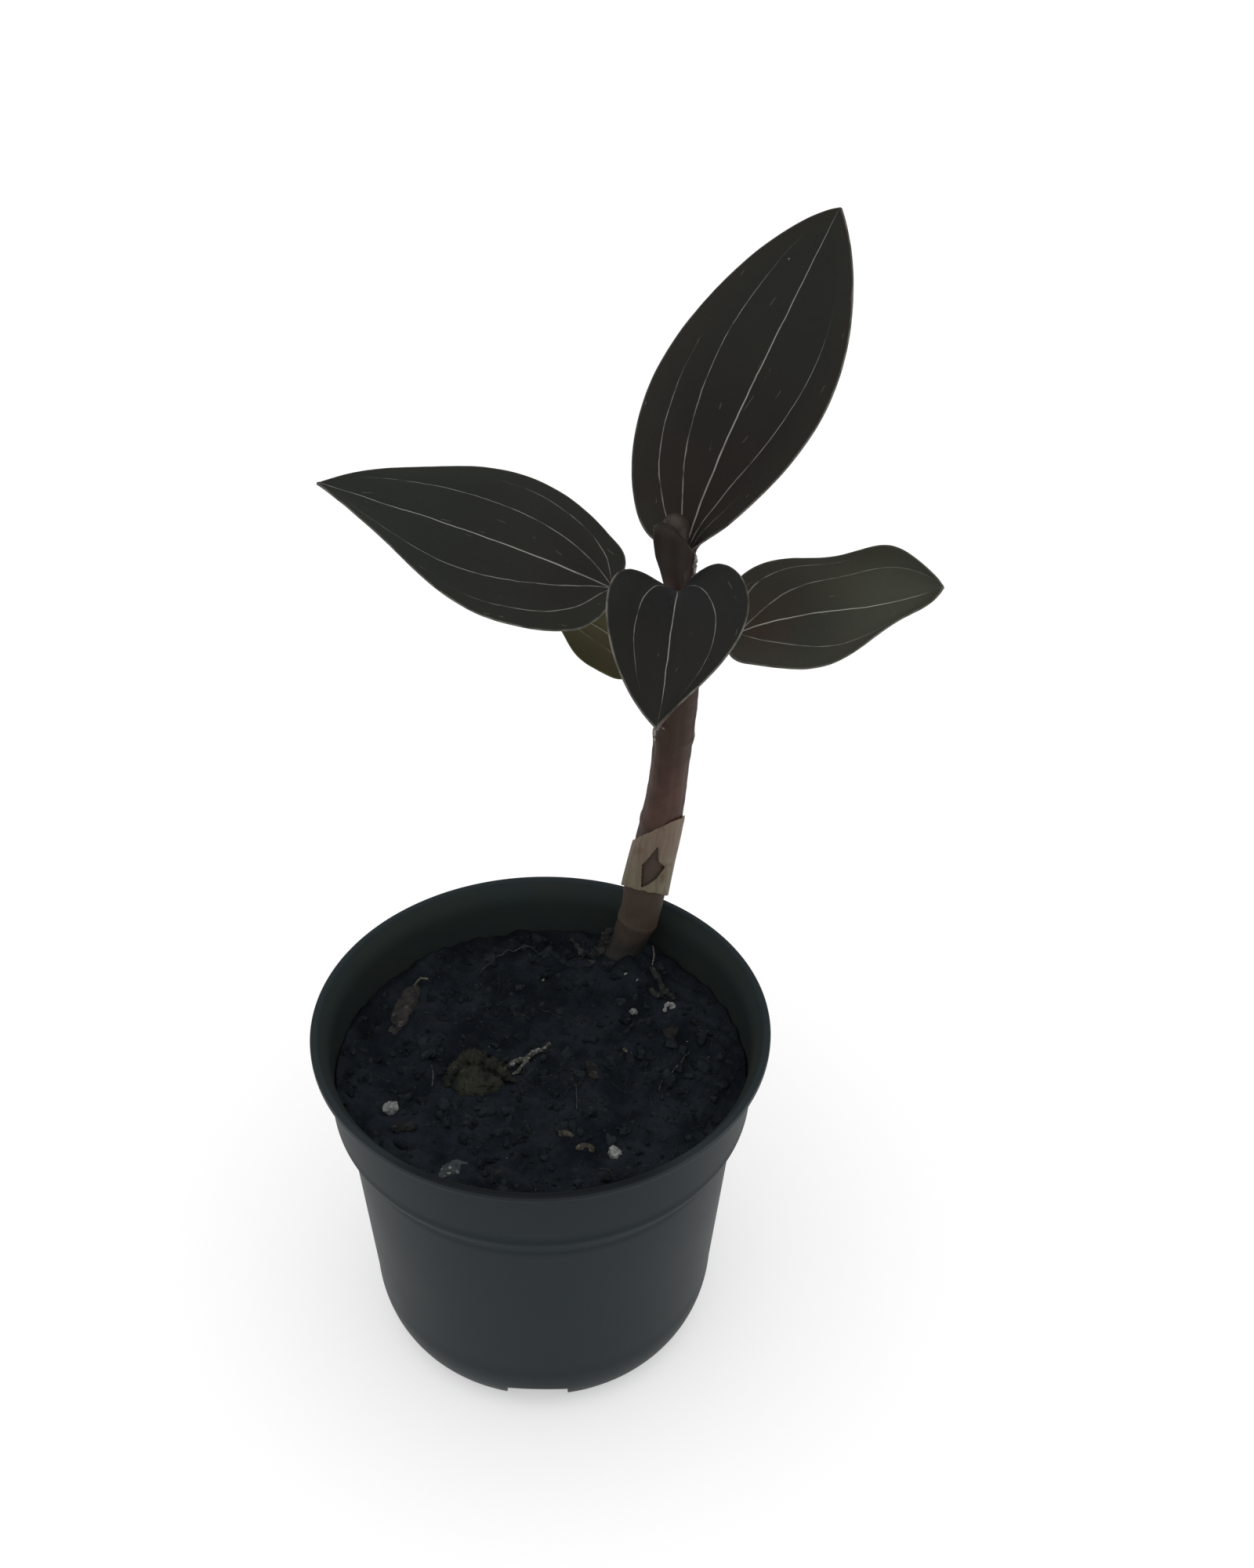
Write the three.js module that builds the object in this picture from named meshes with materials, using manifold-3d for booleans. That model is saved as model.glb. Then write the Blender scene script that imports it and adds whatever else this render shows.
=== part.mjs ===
// A young jewel orchid growing in a round nursery pot.
// Millimetres, +Z up, origin at the centre of the pot's underside.
import * as THREE from "three";
import { mergeVertices } from "three/addons/utils/BufferGeometryUtils.js";
import Module from "manifold-3d";

const wasm = await Module();
wasm.setup();

// ---------- driving sizes ----------

const gap = 0.3; // clearance between neighbouring pieces
const bladeThickness = 0.7;

const pot = {
  height: 90,
  lipRadius: 52.5,
  lipHeight: 2.6,
  collarRadius: 49.2,
  collarFootRadius: 48.6,
  collarFoot: 67.6,
  bodyTopRadius: 45.6,
  bodyFootRadius: 41.5,
  footHeight: 16.6,
  footReach: 9.4, // how far the rounded foot draws in
  wall: 0.9,
  floor: 1.2,
  segments: 48,
  // slots that open the foot's corner
  drain: { count: 3, width: 14.6, height: 9.1, innerRadius: 31.5, outerRadius: 40.5 },
};

const soil = {
  level: 76,
  mound: { x: 19, y: 35, height: 5.8, spread: 9 }, // heaped round the stem
  rings: 11,
  relief: 0.55,
  crumbs: 26,
  crumbRadius: [1.1, 2.5],
  crumbReach: 43,
};

// Stem stations from the buried end of the rhizome to the tip: x, y, z, radius.
const stemStations = [
  [0, 27, 62, 3.4],
  [7.6, 31.6, 66.5, 3.7],
  [13.6, 35, 73.5, 3.9],
  [18.8, 36.4, 82, 4.25],
  [22.0, 36.9, 91, 4.7],
  [23.2, 36.9, 99, 5.0],
  [24.7, 36.6, 110, 4.9],
  [27.0, 36.2, 124, 4.7],
  [28.2, 35.7, 137, 4.4],
  [29.0, 35.2, 149, 4.55],
  [29.4, 34.8, 160, 4.7],
  [29.4, 34.2, 174, 4.1],
  [28.9, 33.8, 181.5, 2.3],
  [28.7, 33.6, 187.4, 1.2],
];
const stemNodes = { heights: [90, 121.5, 146.5, 168], swell: 0.3, spread: 1.6 };
const stemSides = 12;
const firstUprightStation = 3;

const roots = [
  { station: 0.4, heading: 205, length: 24, dip: 14 },
  { station: 0.9, heading: 300, length: 30, dip: 22 },
  { station: 1.5, heading: 250, length: 26, dip: 30 },
  { station: 1.9, heading: 272, length: 18, dip: 34 },
  { station: 2.6, heading: 182, length: 10, dip: 0 }, // a stub that shows at the foot of the stem
];
const rootRadius = [1.5, 0.8];

const sheath = {
  radius: [5.55, 5.15], // inner, at its foot and at its upper edge
  thickness: 0.6,
  foot: { z: 99.1, slant: 4.6, highSide: -110 }, // both edges are torn on a slant
  top: { z: 116.3, slant: 6.2, highSide: -52 },
  tear: {
    z: 110.6,
    heading: 270,
    corners: [[1.2, 6.7], [-2.5, 0.6], [-2.5, -6.2], [0.9, -3.6], [3.1, -0.2], [1.3, 2.2]], // across, up
  },
};

// The rolled young leaf: thin where the top leaf's tube holds it, with a round dome at its top.
const shootTip = {
  base: 189,
  height: 12,
  radius: [1.8, 2.65],
  dome: 2.9,
  shift: [-0.6, 0.5],
  lean: [-0.2, 2.1],
};

// Each leaf clasps the stem at a node, runs along a short channelled stalk and opens into its blade.
// Angles in degrees: heading is counted from +X towards +Y, rise from the horizontal.
// Pairs are [start, end] or [left edge, right edge]; the rise of the blade is [start, middle, tip].
// Wrap is how far each side of the stalk's channel reaches round, at the stem and at the blade.
// The top leaf's stalk is a straight and closed tube for those shares of its length, and leans sideways.
// Swell holds, for each edge, how fast the blade widens from its base and narrows to its tip.
const leaves = {
  leaf_top: {
    node: 183.8, heading: [61.0, 31.7], rise: [52.0, 53.3, 61.2], roll: [-2.7, 9.1],
    stalk: {
      length: 9.6, rise: 84, wrap: [177, 95], tube: 4.3, straight: 0.5, closed: 0.8, lean: [-1.2, 0],
    },
    blade: 77.4, halfWidth: [21.1, 21.7], swell: [[0.7, 0.81], [1.06, 0.87]], lobe: 6.4,
    cup: [30.4, 15.7], fold: [0.6, 0], wave: { height: 1.2, count: 1.13, phase: [-0.6, 1.83] },
  },
  leaf_left: {
    node: 174, heading: [173.5, 181.1], rise: [24.6, 19.0, 19.0], roll: [-14.7, -5.7],
    stalk: { length: 14.7, rise: 61, wrap: [80, 55], tube: 2.1 },
    blade: 66.0, halfWidth: [22.2, 22.3], swell: [[0.73, 1.04], [0.65, 1.0]], lobe: 5.8,
    cup: [-6.5, 11.2], fold: [-1.6, 2.7], wave: { height: 1.2, count: 1.42, phase: [0.44, 4.62] },
  },
  leaf_front: {
    node: 179.5, heading: [-93.0, -96.6], rise: [49.6, -4.0, -14.4], roll: [5.6, -5.8],
    stalk: { length: 12.0, rise: 61, wrap: [80, 55], tube: 2.1 },
    blade: 54.8, halfWidth: [17.2, 14.4], swell: [[1.28, 1.38], [1.02, 0.9]], lobe: 0,
    cup: [41.4, 31.1], fold: [20.8, 1.9], wave: { height: 2.2, count: 0.88, phase: [2.1, -1.74] },
  },
  leaf_right: {
    node: 166, heading: [9.1, 3.1], rise: [25.6, 5.5, 29.8], roll: [9.9, 14.0],
    stalk: { length: 10.4, rise: 55, wrap: [80, 55], tube: 2.1 },
    blade: 45.8, halfWidth: [16.5, 17.5], swell: [[0.68, 0.63], [0.62, 0.82]], lobe: 8.3,
    cup: [12.6, 26.2], fold: [-2.1, 12.7], wave: { height: 3.2, count: 1.38, phase: [-0.06, 1.33] },
  },
  leaf_back: {
    node: 151, heading: [124.3, 170.7], rise: [24.0, 14.0, 0.0], roll: [0.0, 0.0],
    stalk: { length: 9.0, rise: 50, wrap: [80, 55], tube: 2.1 },
    blade: 29.1, halfWidth: [12.4, 12.0], swell: [[0.64, 0.8], [0.63, 0.8]], lobe: 3.0,
    cup: [10.1, 15.0], fold: [-5.4, 5.0], wave: { height: 0.8, count: 1.3, phase: [0.5, 2.0] },
  },
};
const bladeRows = { stalk: 5, blade: 18 };
const veins = [0, 0.45, 0.74]; // across the half blade, 0 at the midrib and 1 at the edge
const betweenVeins = [0.22, 0.6, 0.88, 1];
const veinDepth = 0.3; // the blade is quilted: each vein lies in a shallow groove
const tipHalfWidth = 0.35;

// Loose bits pressed into the soil: place, size along x, y, z, turn, and how far the middle is sunk.
const looseBits = {
  bark_long: { at: [-34, 17.5], size: [20, 5.5, 3.2], turn: 76, sink: 0.3, colour: 0x4d3b2f, seed: 11 },
  moss_lump: { at: [-15, -5.2], size: [13.4, 10, 7], turn: 8, sink: 1.2, colour: 0x3a382b, seed: 5 },
  chip_grey: { at: [-17.6, -32.7], size: [8.5, 5.5, 3], turn: 25, sink: 0.4, colour: 0x3b4043, seed: 23 },
  chip_tan_1: { at: [6.6, -22.4], size: [4.2, 2.6, 1.8], turn: -32, sink: 0.2, colour: 0x6b5c48, seed: 31 },
  chip_tan_2: { at: [11, -26], size: [4.6, 2.4, 1.8], turn: -8, sink: 0.2, colour: 0x6b5c48, seed: 37 },
  chip_dark_1: { at: [-30, -20.5], size: [6.4, 3.4, 2.4], turn: 10, sink: 0.3, colour: 0x33302c, seed: 41 },
  chip_dark_2: { at: [30, 12], size: [6, 3.6, 2.4], turn: 60, sink: 0.3, colour: 0x33302c, seed: 43 },
  chip_dark_3: { at: [12, -2], size: [7, 3.2, 2.6], turn: 105, sink: 0.4, colour: 0x33302c, seed: 47 },
  perlite_1: { at: [-33.6, -15.2], size: [4.2, 3.6, 3], turn: 20, sink: 0.2, colour: 0x8d938f, seed: 53 },
  perlite_2: { at: [17.6, -26.6], size: [3.2, 3.8, 2.6], turn: 40, sink: 0.3, colour: 0x8d938f, seed: 59 },
  perlite_3: { at: [30.4, 20.4], size: [2.2, 2.6, 2], turn: 0, sink: 0.2, colour: 0x8d938f, seed: 61 },
  perlite_4: { at: [21, 18.9], size: [2.2, 1.8, 1.8], turn: 30, sink: 0.2, colour: 0x8d938f, seed: 67 },
};

// A forked scrap of lichened twig: stations x, y, height above the soil, radius, for both arms.
const twig = {
  colour: 0x6f736b,
  arms: [
    [[-7.2, -2.6, 0.1, 0.75], [-3.4, 0.4, 1.0, 0.85], [1.6, 4.8, 1.6, 0.6]],
    [[-7.2, -2.6, 0.1, 0.75], [-6.2, 0, 1.1, 0.7], [-5.3, 2.6, 1.5, 0.5]],
  ],
};

// ---------- small helpers ----------

const radians = Math.PI / 180;
const mix = (a, b, t) => a + (b - a) * t;
const clamp01 = (t) => Math.min(1, Math.max(0, t));
const smooth = (t) => t * t * (3 - 2 * t);

function seeded(seed) {
  let state = seed >>> 0;
  return () => {
    state = (Math.imul(state, 1664525) + 1013904223) >>> 0;
    return state / 4294967296;
  };
}

function geometryFrom(points, triangles) {
  const geometry = new THREE.BufferGeometry();
  geometry.setAttribute("position", new THREE.Float32BufferAttribute(points.flat(), 3));
  geometry.setIndex(triangles.flat());
  return geometry;
}

function welded(geometry) {
  const copy = geometry.clone();
  copy.deleteAttribute("normal");
  copy.deleteAttribute("uv");
  return mergeVertices(copy, 1e-4);
}

function toSolid(geometry) {
  const closed = welded(geometry);
  return new wasm.Manifold(new wasm.Mesh({
    numProp: 3,
    vertProperties: new Float32Array(closed.attributes.position.array),
    triVerts: new Uint32Array(closed.index.array),
  }));
}

function fromSolid(solid) {
  const mesh = solid.getMesh();
  const geometry = new THREE.BufferGeometry();
  geometry.setAttribute("position", new THREE.BufferAttribute(new Float32Array(mesh.vertProperties), 3));
  geometry.setIndex(new THREE.BufferAttribute(new Uint32Array(mesh.triVerts), 1));
  return geometry;
}

// A smooth line through stations of any width, counted in stations from the first.
function alongStations(stations, s) {
  const last = stations.length - 1;
  const i = Math.min(last - 1, Math.max(0, Math.floor(s)));
  const t = s - i;
  const p0 = stations[Math.max(0, i - 1)];
  const p1 = stations[i];
  const p2 = stations[i + 1];
  const p3 = stations[Math.min(last, i + 2)];
  return p1.map((v, k) => 0.5 * (2 * v + (p2[k] - p0[k]) * t
    + (2 * p0[k] - 5 * v + 4 * p2[k] - p3[k]) * t * t
    + (3 * v - p0[k] - 3 * p2[k] + p3[k]) * t * t * t));
}

const bluntEnd = { reach: 0.5, radius: 0.62 }; // shares of the tube's own radius

// A closed round tube through points [x, y, z, radius], with a blunt rounded end at both ends.
function tube(path, sides, extra = 0) {
  const rows = path.map((p) => ({ centre: new THREE.Vector3(p[0], p[1], p[2]), radius: p[3] + extra }));
  const count = rows.length;
  const heading = (i) => rows[Math.min(count - 1, i + 1)].centre.clone()
    .sub(rows[Math.max(0, i - 1)].centre).normalize();
  const cap = (row, direction) => ({
    centre: row.centre.clone().addScaledVector(direction, bluntEnd.reach * row.radius),
    radius: bluntEnd.radius * row.radius,
  });
  const startCap = cap(rows[0], heading(0).negate());
  const endCap = cap(rows[count - 1], heading(count - 1));
  const all = [startCap, ...rows, endCap];
  const points = [];
  const triangles = [];
  let side = new THREE.Vector3(1, 0, 0);
  all.forEach((row, i) => {
    const t = heading(Math.min(count - 1, Math.max(0, i - 1)));
    side = side.clone().addScaledVector(t, -side.dot(t)).normalize();
    const other = new THREE.Vector3().crossVectors(t, side);
    for (let j = 0; j < sides; j++) {
      const a = (2 * Math.PI * j) / sides;
      const p = row.centre.clone()
        .addScaledVector(side, row.radius * Math.cos(a))
        .addScaledVector(other, row.radius * Math.sin(a));
      points.push([p.x, p.y, p.z]);
    }
    if (i > 0) {
      for (let j = 0; j < sides; j++) {
        const a = (i - 1) * sides + j;
        const b = (i - 1) * sides + ((j + 1) % sides);
        triangles.push([a, b, b + sides], [a, b + sides, a + sides]);
      }
    }
  });
  const tail = points.length;
  const endRow = (all.length - 1) * sides;
  points.push(startCap.centre.toArray(), endCap.centre.toArray());
  for (let j = 0; j < sides; j++) {
    const k = (j + 1) % sides;
    triangles.push([tail, k, j], [tail + 1, endRow + j, endRow + k]);
  }
  return geometryFrom(points, triangles);
}

// ---------- pot ----------

// The foot's quarter ellipse from the flat underside up to the straight wall.
function footArc(centreRadius, reach, height, top, steps) {
  const arc = [];
  for (let i = 0; i <= steps; i++) {
    const a = (Math.PI / 2) * (i / steps);
    arc.push([centreRadius + reach * Math.sin(a), top - height * Math.cos(a)]);
  }
  return arc;
}

const footCentre = pot.bodyFootRadius - pot.footReach;

// The pot's inside from the floor's edge to the lip, drawn in by a clearance for what fills it.
function insideOutline(clearance) {
  const foot = footArc(footCentre - clearance, pot.footReach - pot.wall,
    pot.footHeight - pot.floor - clearance, pot.footHeight, 4);
  const bodyTop = pot.bodyTopRadius - pot.wall - clearance;
  const collarFoot = pot.collarFootRadius - pot.wall - clearance;
  const step = pot.collarFoot + clearance;
  return [...foot, [bodyTop, step + 0.5], [collarFoot, step + 1]];
}

const collarInner = pot.collarRadius - pot.wall;

function insideRadiusAbove(z) {
  const low = pot.collarFoot + 1;
  const high = pot.height - 4;
  return mix(pot.collarFootRadius - pot.wall, collarInner, clamp01((z - low) / (high - low)));
}

// Wedges that open the foot's corner for drainage, the first one at the front.
function drainSlots(clearance = 0) {
  const { count, width, height, innerRadius, outerRadius } = pot.drain;
  const beyond = pot.lipRadius;
  const profile = new THREE.Shape([
    new THREE.Vector2(innerRadius - clearance, -1),
    new THREE.Vector2(innerRadius - clearance, 0),
    new THREE.Vector2(outerRadius - clearance, height + clearance),
    new THREE.Vector2(beyond, height + clearance),
    new THREE.Vector2(beyond, -1),
  ]);
  const depth = width + 2 * clearance;
  const wedges = Array.from({ length: count }, (_, i) => {
    const wedge = new THREE.ExtrudeGeometry(profile, { depth, bevelEnabled: false });
    wedge.translate(0, 0, -depth / 2);
    wedge.rotateX(Math.PI / 2);
    wedge.rotateZ((2 * Math.PI * i) / count - Math.PI / 2);
    return toSolid(wedge);
  });
  return wedges.reduce((all, wedge) => all.add(wedge));
}

function potGeometry() {
  const lipBottom = pot.height - pot.lipHeight;
  const outline = [
    [0, 0],
    ...footArc(footCentre, pot.footReach, pot.footHeight, pot.footHeight, 5),
    [pot.bodyTopRadius, pot.collarFoot - 0.5],
    [pot.collarFootRadius - 0.5, pot.collarFoot],
    [pot.collarFootRadius, pot.collarFoot + 0.6],
    [pot.collarRadius, lipBottom],
    [pot.lipRadius - 0.3, lipBottom + 0.1],
    [pot.lipRadius, lipBottom + 0.5],
    [pot.lipRadius, pot.height - 0.5],
    [pot.lipRadius - 0.5, pot.height],
    [pot.lipRadius - 1.2, pot.height],
    [pot.lipRadius - 1.9, pot.height - 0.7],
    [collarInner, pot.height - 4],
    ...insideOutline(0).reverse(),
    [0, pot.floor],
  ];
  const lathe = new THREE.LatheGeometry(outline.map(([r, z]) => new THREE.Vector2(r, z)), pot.segments);
  lathe.rotateX(Math.PI / 2);
  return fromSolid(toSolid(lathe).subtract(drainSlots()));
}

// ---------- stem ----------

function stemRow(s, extra = 0) {
  const [x, y, z, r] = alongStations(stemStations, s);
  const swell = stemNodes.heights.reduce((sum, h) =>
    sum + stemNodes.swell * Math.exp(-(((z - h) / stemNodes.spread) ** 2)), 0);
  return [x, y, z, r + swell + extra];
}

function stemPath(extra = 0) {
  const path = [];
  const last = stemStations.length - 1;
  for (let s = 0; s <= last + 1e-6; s += 0.4) path.push(stemRow(Math.min(last, s), extra));
  return path;
}

function stemAt(z) {
  let low = firstUprightStation;
  let high = stemStations.length - 1;
  for (let i = 0; i < 30; i++) {
    const middle = (low + high) / 2;
    if (alongStations(stemStations, middle)[2] < z) low = middle;
    else high = middle;
  }
  return stemRow(low);
}

function rootPath(root) {
  const [x, y, z] = alongStations(stemStations, root.station);
  const steps = 6;
  const path = [];
  for (let i = 0; i <= steps; i++) {
    const t = i / steps;
    const turn = (root.heading + 38 * Math.sin(3 * t)) * radians;
    const out = root.length * t;
    path.push([
      x + out * Math.cos(turn),
      y + out * Math.sin(turn),
      z - root.dip * t ** 1.4,
      mix(rootRadius[0], rootRadius[1], t),
    ]);
  }
  return path;
}

function stemSolid(extra = 0) {
  let solid = toSolid(tube(stemPath(extra), stemSides));
  for (const root of roots) solid = solid.add(toSolid(tube(rootPath(root), 5, extra)));
  return solid;
}

// ---------- sheath, shoot tip ----------

function sheathGeometry() {
  const sides = 20;
  const rows = 4;
  const points = [];
  const triangles = [];
  const random = seeded(71);
  const raggedBy = [0.9, 1.3];
  const ragged = Array.from({ length: sides }, () => raggedBy.map((by) => by * (random() - 0.5)));
  const edgeHeight = (edge, a) => edge.z + edge.slant * Math.cos(a - edge.highSide * radians);
  const skin = (offset) => {
    for (let i = 0; i <= rows; i++) {
      for (let j = 0; j < sides; j++) {
        const a = (2 * Math.PI * j) / sides;
        const low = edgeHeight(sheath.foot, a) + ragged[j][0];
        const high = edgeHeight(sheath.top, a) + ragged[j][1];
        const z = mix(low, high, i / rows);
        const [x, y, , stemRadius] = stemAt(z);
        const puff = 0.1 * Math.sin(Math.PI * (i / rows)) * (1 + Math.sin(3 * a + i));
        const drawn = mix(sheath.radius[0], sheath.radius[1], i / rows) + puff;
        const r = Math.max(drawn, stemRadius + gap + 0.1) + offset;
        points.push([x + r * Math.cos(a), y + r * Math.sin(a), z]);
      }
    }
  };
  skin(0);
  skin(sheath.thickness);
  const shell = (rows + 1) * sides;
  const quad = (a, b, c, d) => triangles.push([a, b, c], [a, c, d]);
  for (let j = 0; j < sides; j++) {
    const k = (j + 1) % sides;
    for (let i = 0; i < rows; i++) {
      const low = i * sides;
      quad(low + k, low + j, low + sides + j, low + sides + k);
      quad(shell + low + j, shell + low + k, shell + low + sides + k, shell + low + sides + j);
    }
    const top = rows * sides;
    quad(j, k, shell + k, shell + j);
    quad(top + k, top + j, shell + top + j, shell + top + k);
  }
  const { tear } = sheath;
  const outline = new THREE.Shape(tear.corners.map(([across, up]) => new THREE.Vector2(across, up)));
  const cutter = new THREE.ExtrudeGeometry(outline, { depth: 9, bevelEnabled: false });
  cutter.rotateX(Math.PI / 2);
  cutter.rotateZ((tear.heading + 90) * radians);
  const [x, y] = stemAt(tear.z);
  cutter.translate(x, y, tear.z);
  return fromSolid(toSolid(geometryFrom(points, triangles)).subtract(toSolid(cutter)));
}

function shootTipGeometry() {
  const [x, y] = stemAt(shootTip.base);
  const path = [];
  const steps = 8;
  const rounded = 0.5; // of the height at either end, left to the tube's blunt ends
  for (let i = 0; i <= steps; i++) {
    const t = 1 - (1 - i / steps) ** 1.5;
    const fromTop = rounded + (shootTip.height - 2 * rounded) * (1 - t);
    const round = Math.sqrt(1 - (1 - Math.min(1, fromTop / shootTip.dome)) ** 2);
    path.push([
      x + shootTip.shift[0] + shootTip.lean[0] * t,
      y + shootTip.shift[1] + shootTip.lean[1] * t,
      shootTip.base + shootTip.height - fromTop,
      mix(shootTip.radius[0], shootTip.radius[1], smooth(clamp01(t / 0.6))) * round,
    ]);
  }
  return tube(path, 10);
}

// ---------- leaves ----------

function throughThree([a, b, c], t) {
  return a * (1 - t) * (1 - 2 * t) + 4 * b * t * (1 - t) + c * t * (2 * t - 1);
}

// How much of what follows the share start lies before the share k.
const shareAfter = (start, k) => clamp01((k - start) / (1 - start));

// The frame of the leaf at a run along its midrib: forward, leftward and upward (towards its upper face).
function leafFrame(leaf, run) {
  const { length, straight = 0 } = leaf.stalk;
  const t = clamp01((run - length) / leaf.blade);
  const k = smooth(shareAfter(straight, run / length));
  const rise = (run < length ? mix(leaf.stalk.rise, leaf.rise[0], k) : throughThree(leaf.rise, t)) * radians;
  const heading = mix(leaf.heading[0], leaf.heading[1], t) * radians;
  const roll = mix(leaf.roll[0], leaf.roll[1], t) * k * radians;
  const forward = new THREE.Vector3(
    Math.cos(rise) * Math.cos(heading), Math.cos(rise) * Math.sin(heading), Math.sin(rise));
  const level = new THREE.Vector3(-Math.sin(heading), Math.cos(heading), 0);
  const over = new THREE.Vector3().crossVectors(forward, level);
  const left = level.clone().multiplyScalar(Math.cos(roll)).addScaledVector(over, Math.sin(roll));
  const up = over.clone().multiplyScalar(Math.cos(roll)).addScaledVector(level, -Math.sin(roll));
  return { forward, left, up };
}

// Midrib points at the given runs, stepped finely so that the curve is smooth.
function midrib(leaf, runs) {
  const { length: stalkLength, lean = [0, 0] } = leaf.stalk;
  const [x, y, , stemRadius] = stemAt(leaf.node);
  const face = leaf.heading[0] * radians;
  const out = stemRadius + gap + bladeThickness / 2;
  const point = new THREE.Vector3(x + out * Math.cos(face), y + out * Math.sin(face), leaf.node);
  const step = 0.25;
  let run = 0;
  return runs.map((target) => {
    while (run < target - 1e-9) {
      const length = Math.min(step, target - run);
      point.addScaledVector(leafFrame(leaf, run + length / 2).forward, length);
      run += length;
    }
    const k = clamp01(target / stalkLength);
    return new THREE.Vector3(point.x + lean[0] * k, point.y + lean[1] * k, point.z);
  });
}

const veinHalfWidth = 0.1; // as a share of the half blade

function veinGroove(across) {
  return veins.reduce((deepest, vein) => Math.max(deepest, 1 - Math.abs(across - vein) / veinHalfWidth), 0);
}

// A point's place off the midrib: sideways, upwards and along, for u from -1 (right edge) to 1 (left edge).
function leafSection(leaf, run, u) {
  const { stalk, blade, swell, cup, fold, wave } = leaf;
  const t = clamp01((run - stalk.length) / blade);
  const k = clamp01(run / stalk.length);
  const stemRadius = stemAt(leaf.node)[3];
  const side = Math.abs(u);
  const edge = u > 0 ? 0 : 1;
  const [atBase, atTip] = swell[edge];
  const widest = atBase / (atBase + atTip);
  const fullness = (t ** atBase * (1 - t) ** atTip) / (widest ** atBase * (1 - widest) ** atTip);
  const tubeRadius = mix(stemRadius + gap + bladeThickness / 2 + 0.1, stalk.tube, k);
  const stalkCup = mix(stalk.wrap[1], stalk.wrap[0], (1 - shareAfter(stalk.closed ?? 0, k)) ** 1.5);
  const stalkWidth = tubeRadius * stalkCup * radians;
  const bladeWidth = leaf.halfWidth[edge] * fullness;
  const width = Math.max(tipHalfWidth, Math.hypot(bladeWidth, stalkWidth * (1 - t) ** 3));
  const opening = clamp01(1 - t / 0.15) ** 2;
  const cupAngle = mix(mix(cup[0], cup[1], t), stalkCup, run < stalk.length ? 1 : opening) * radians;
  const foldAngle = mix(fold[0], fold[1], t) * k * radians;
  const bend = Math.abs(cupAngle) < 1e-3 ? 1e-3 : cupAngle;
  const across = (width * Math.sin(bend * side)) / bend;
  const lift = (width * (1 - Math.cos(bend * side))) / bend;
  const fade = Math.sin(Math.PI * t);
  const ripple = wave.height * side ** 2 * fade ** 0.7
    * Math.sin(2 * Math.PI * wave.count * t + wave.phase[edge]);
  const groove = veinDepth * veinGroove(side) * Math.sqrt(fade);
  return {
    left: Math.sign(u) * (across * Math.cos(foldAngle) - lift * Math.sin(foldAngle)),
    up: across * Math.sin(foldAngle) + lift * Math.cos(foldAngle) + ripple - groove,
    along: -2 * leaf.lobe * side ** 2 * (1 - t) ** 3 * k ** 2 * Math.min(1, fullness),
  };
}

function leafGeometry(leaf) {
  const runs = [];
  for (let i = 0; i < bladeRows.stalk; i++) runs.push((leaf.stalk.length * i) / bladeRows.stalk);
  for (let i = 0; i <= bladeRows.blade; i++) {
    runs.push(leaf.stalk.length + leaf.blade * (i / bladeRows.blade) ** 1.15);
  }
  const half = [...veins.slice(1), ...betweenVeins].sort((a, b) => a - b);
  const columns = [...half.map((v) => -v).reverse(), 0, ...half];
  const ribs = midrib(leaf, runs);
  const middle = runs.map((run, i) => {
    const { forward, left, up } = leafFrame(leaf, run);
    return columns.map((u) => {
      const at = leafSection(leaf, run, u);
      return ribs[i].clone().addScaledVector(left, at.left).addScaledVector(up, at.up)
        .addScaledVector(forward, at.along);
    });
  });
  const rows = runs.length;
  const width = columns.length;
  const normalAt = (i, j) => {
    const ahead = middle[Math.min(rows - 1, i + 1)][j].clone().sub(middle[Math.max(0, i - 1)][j]);
    const aside = middle[i][Math.min(width - 1, j + 1)].clone().sub(middle[i][Math.max(0, j - 1)]);
    return new THREE.Vector3().crossVectors(ahead, aside).normalize();
  };
  const points = [];
  for (const face of [0.5, -0.5]) {
    for (let i = 0; i < rows; i++) {
      for (let j = 0; j < width; j++) {
        points.push(middle[i][j].clone().addScaledVector(normalAt(i, j), face * bladeThickness).toArray());
      }
    }
  }
  const under = rows * width;
  const triangles = [];
  for (let i = 0; i < rows - 1; i++) {
    for (let j = 0; j < width - 1; j++) {
      const a = i * width + j;
      const b = a + 1;
      const c = a + width;
      const d = c + 1;
      triangles.push([a, c, d], [a, d, b]);
      triangles.push([under + a, under + d, under + c], [under + a, under + b, under + d]);
    }
  }
  const wall = (a, b) => triangles.push([a, b, under + b], [a, under + b, under + a]);
  for (let i = 0; i < rows - 1; i++) {
    wall((i + 1) * width, i * width);
    wall(i * width + width - 1, (i + 1) * width + width - 1);
  }
  for (let j = 0; j < width - 1; j++) {
    wall(j, j + 1);
    wall((rows - 1) * width + j + 1, (rows - 1) * width + j);
  }
  return geometryFrom(points, triangles);
}

// ---------- soil and what lies on it ----------

function soilHeight(x, y) {
  const { mound, relief } = soil;
  const away = Math.hypot(x - mound.x, y - mound.y);
  const heap = mound.height * Math.exp(-((away / mound.spread) ** 2));
  const lumps = Math.sin(0.41 * x + 1.3) * Math.cos(0.37 * y - 0.4)
    + 0.7 * Math.sin(0.83 * x - 0.55 * y + 2.1) + 0.5 * Math.sin(1.27 * y + 0.9 * x);
  return soil.level + heap + relief * lumps;
}

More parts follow.
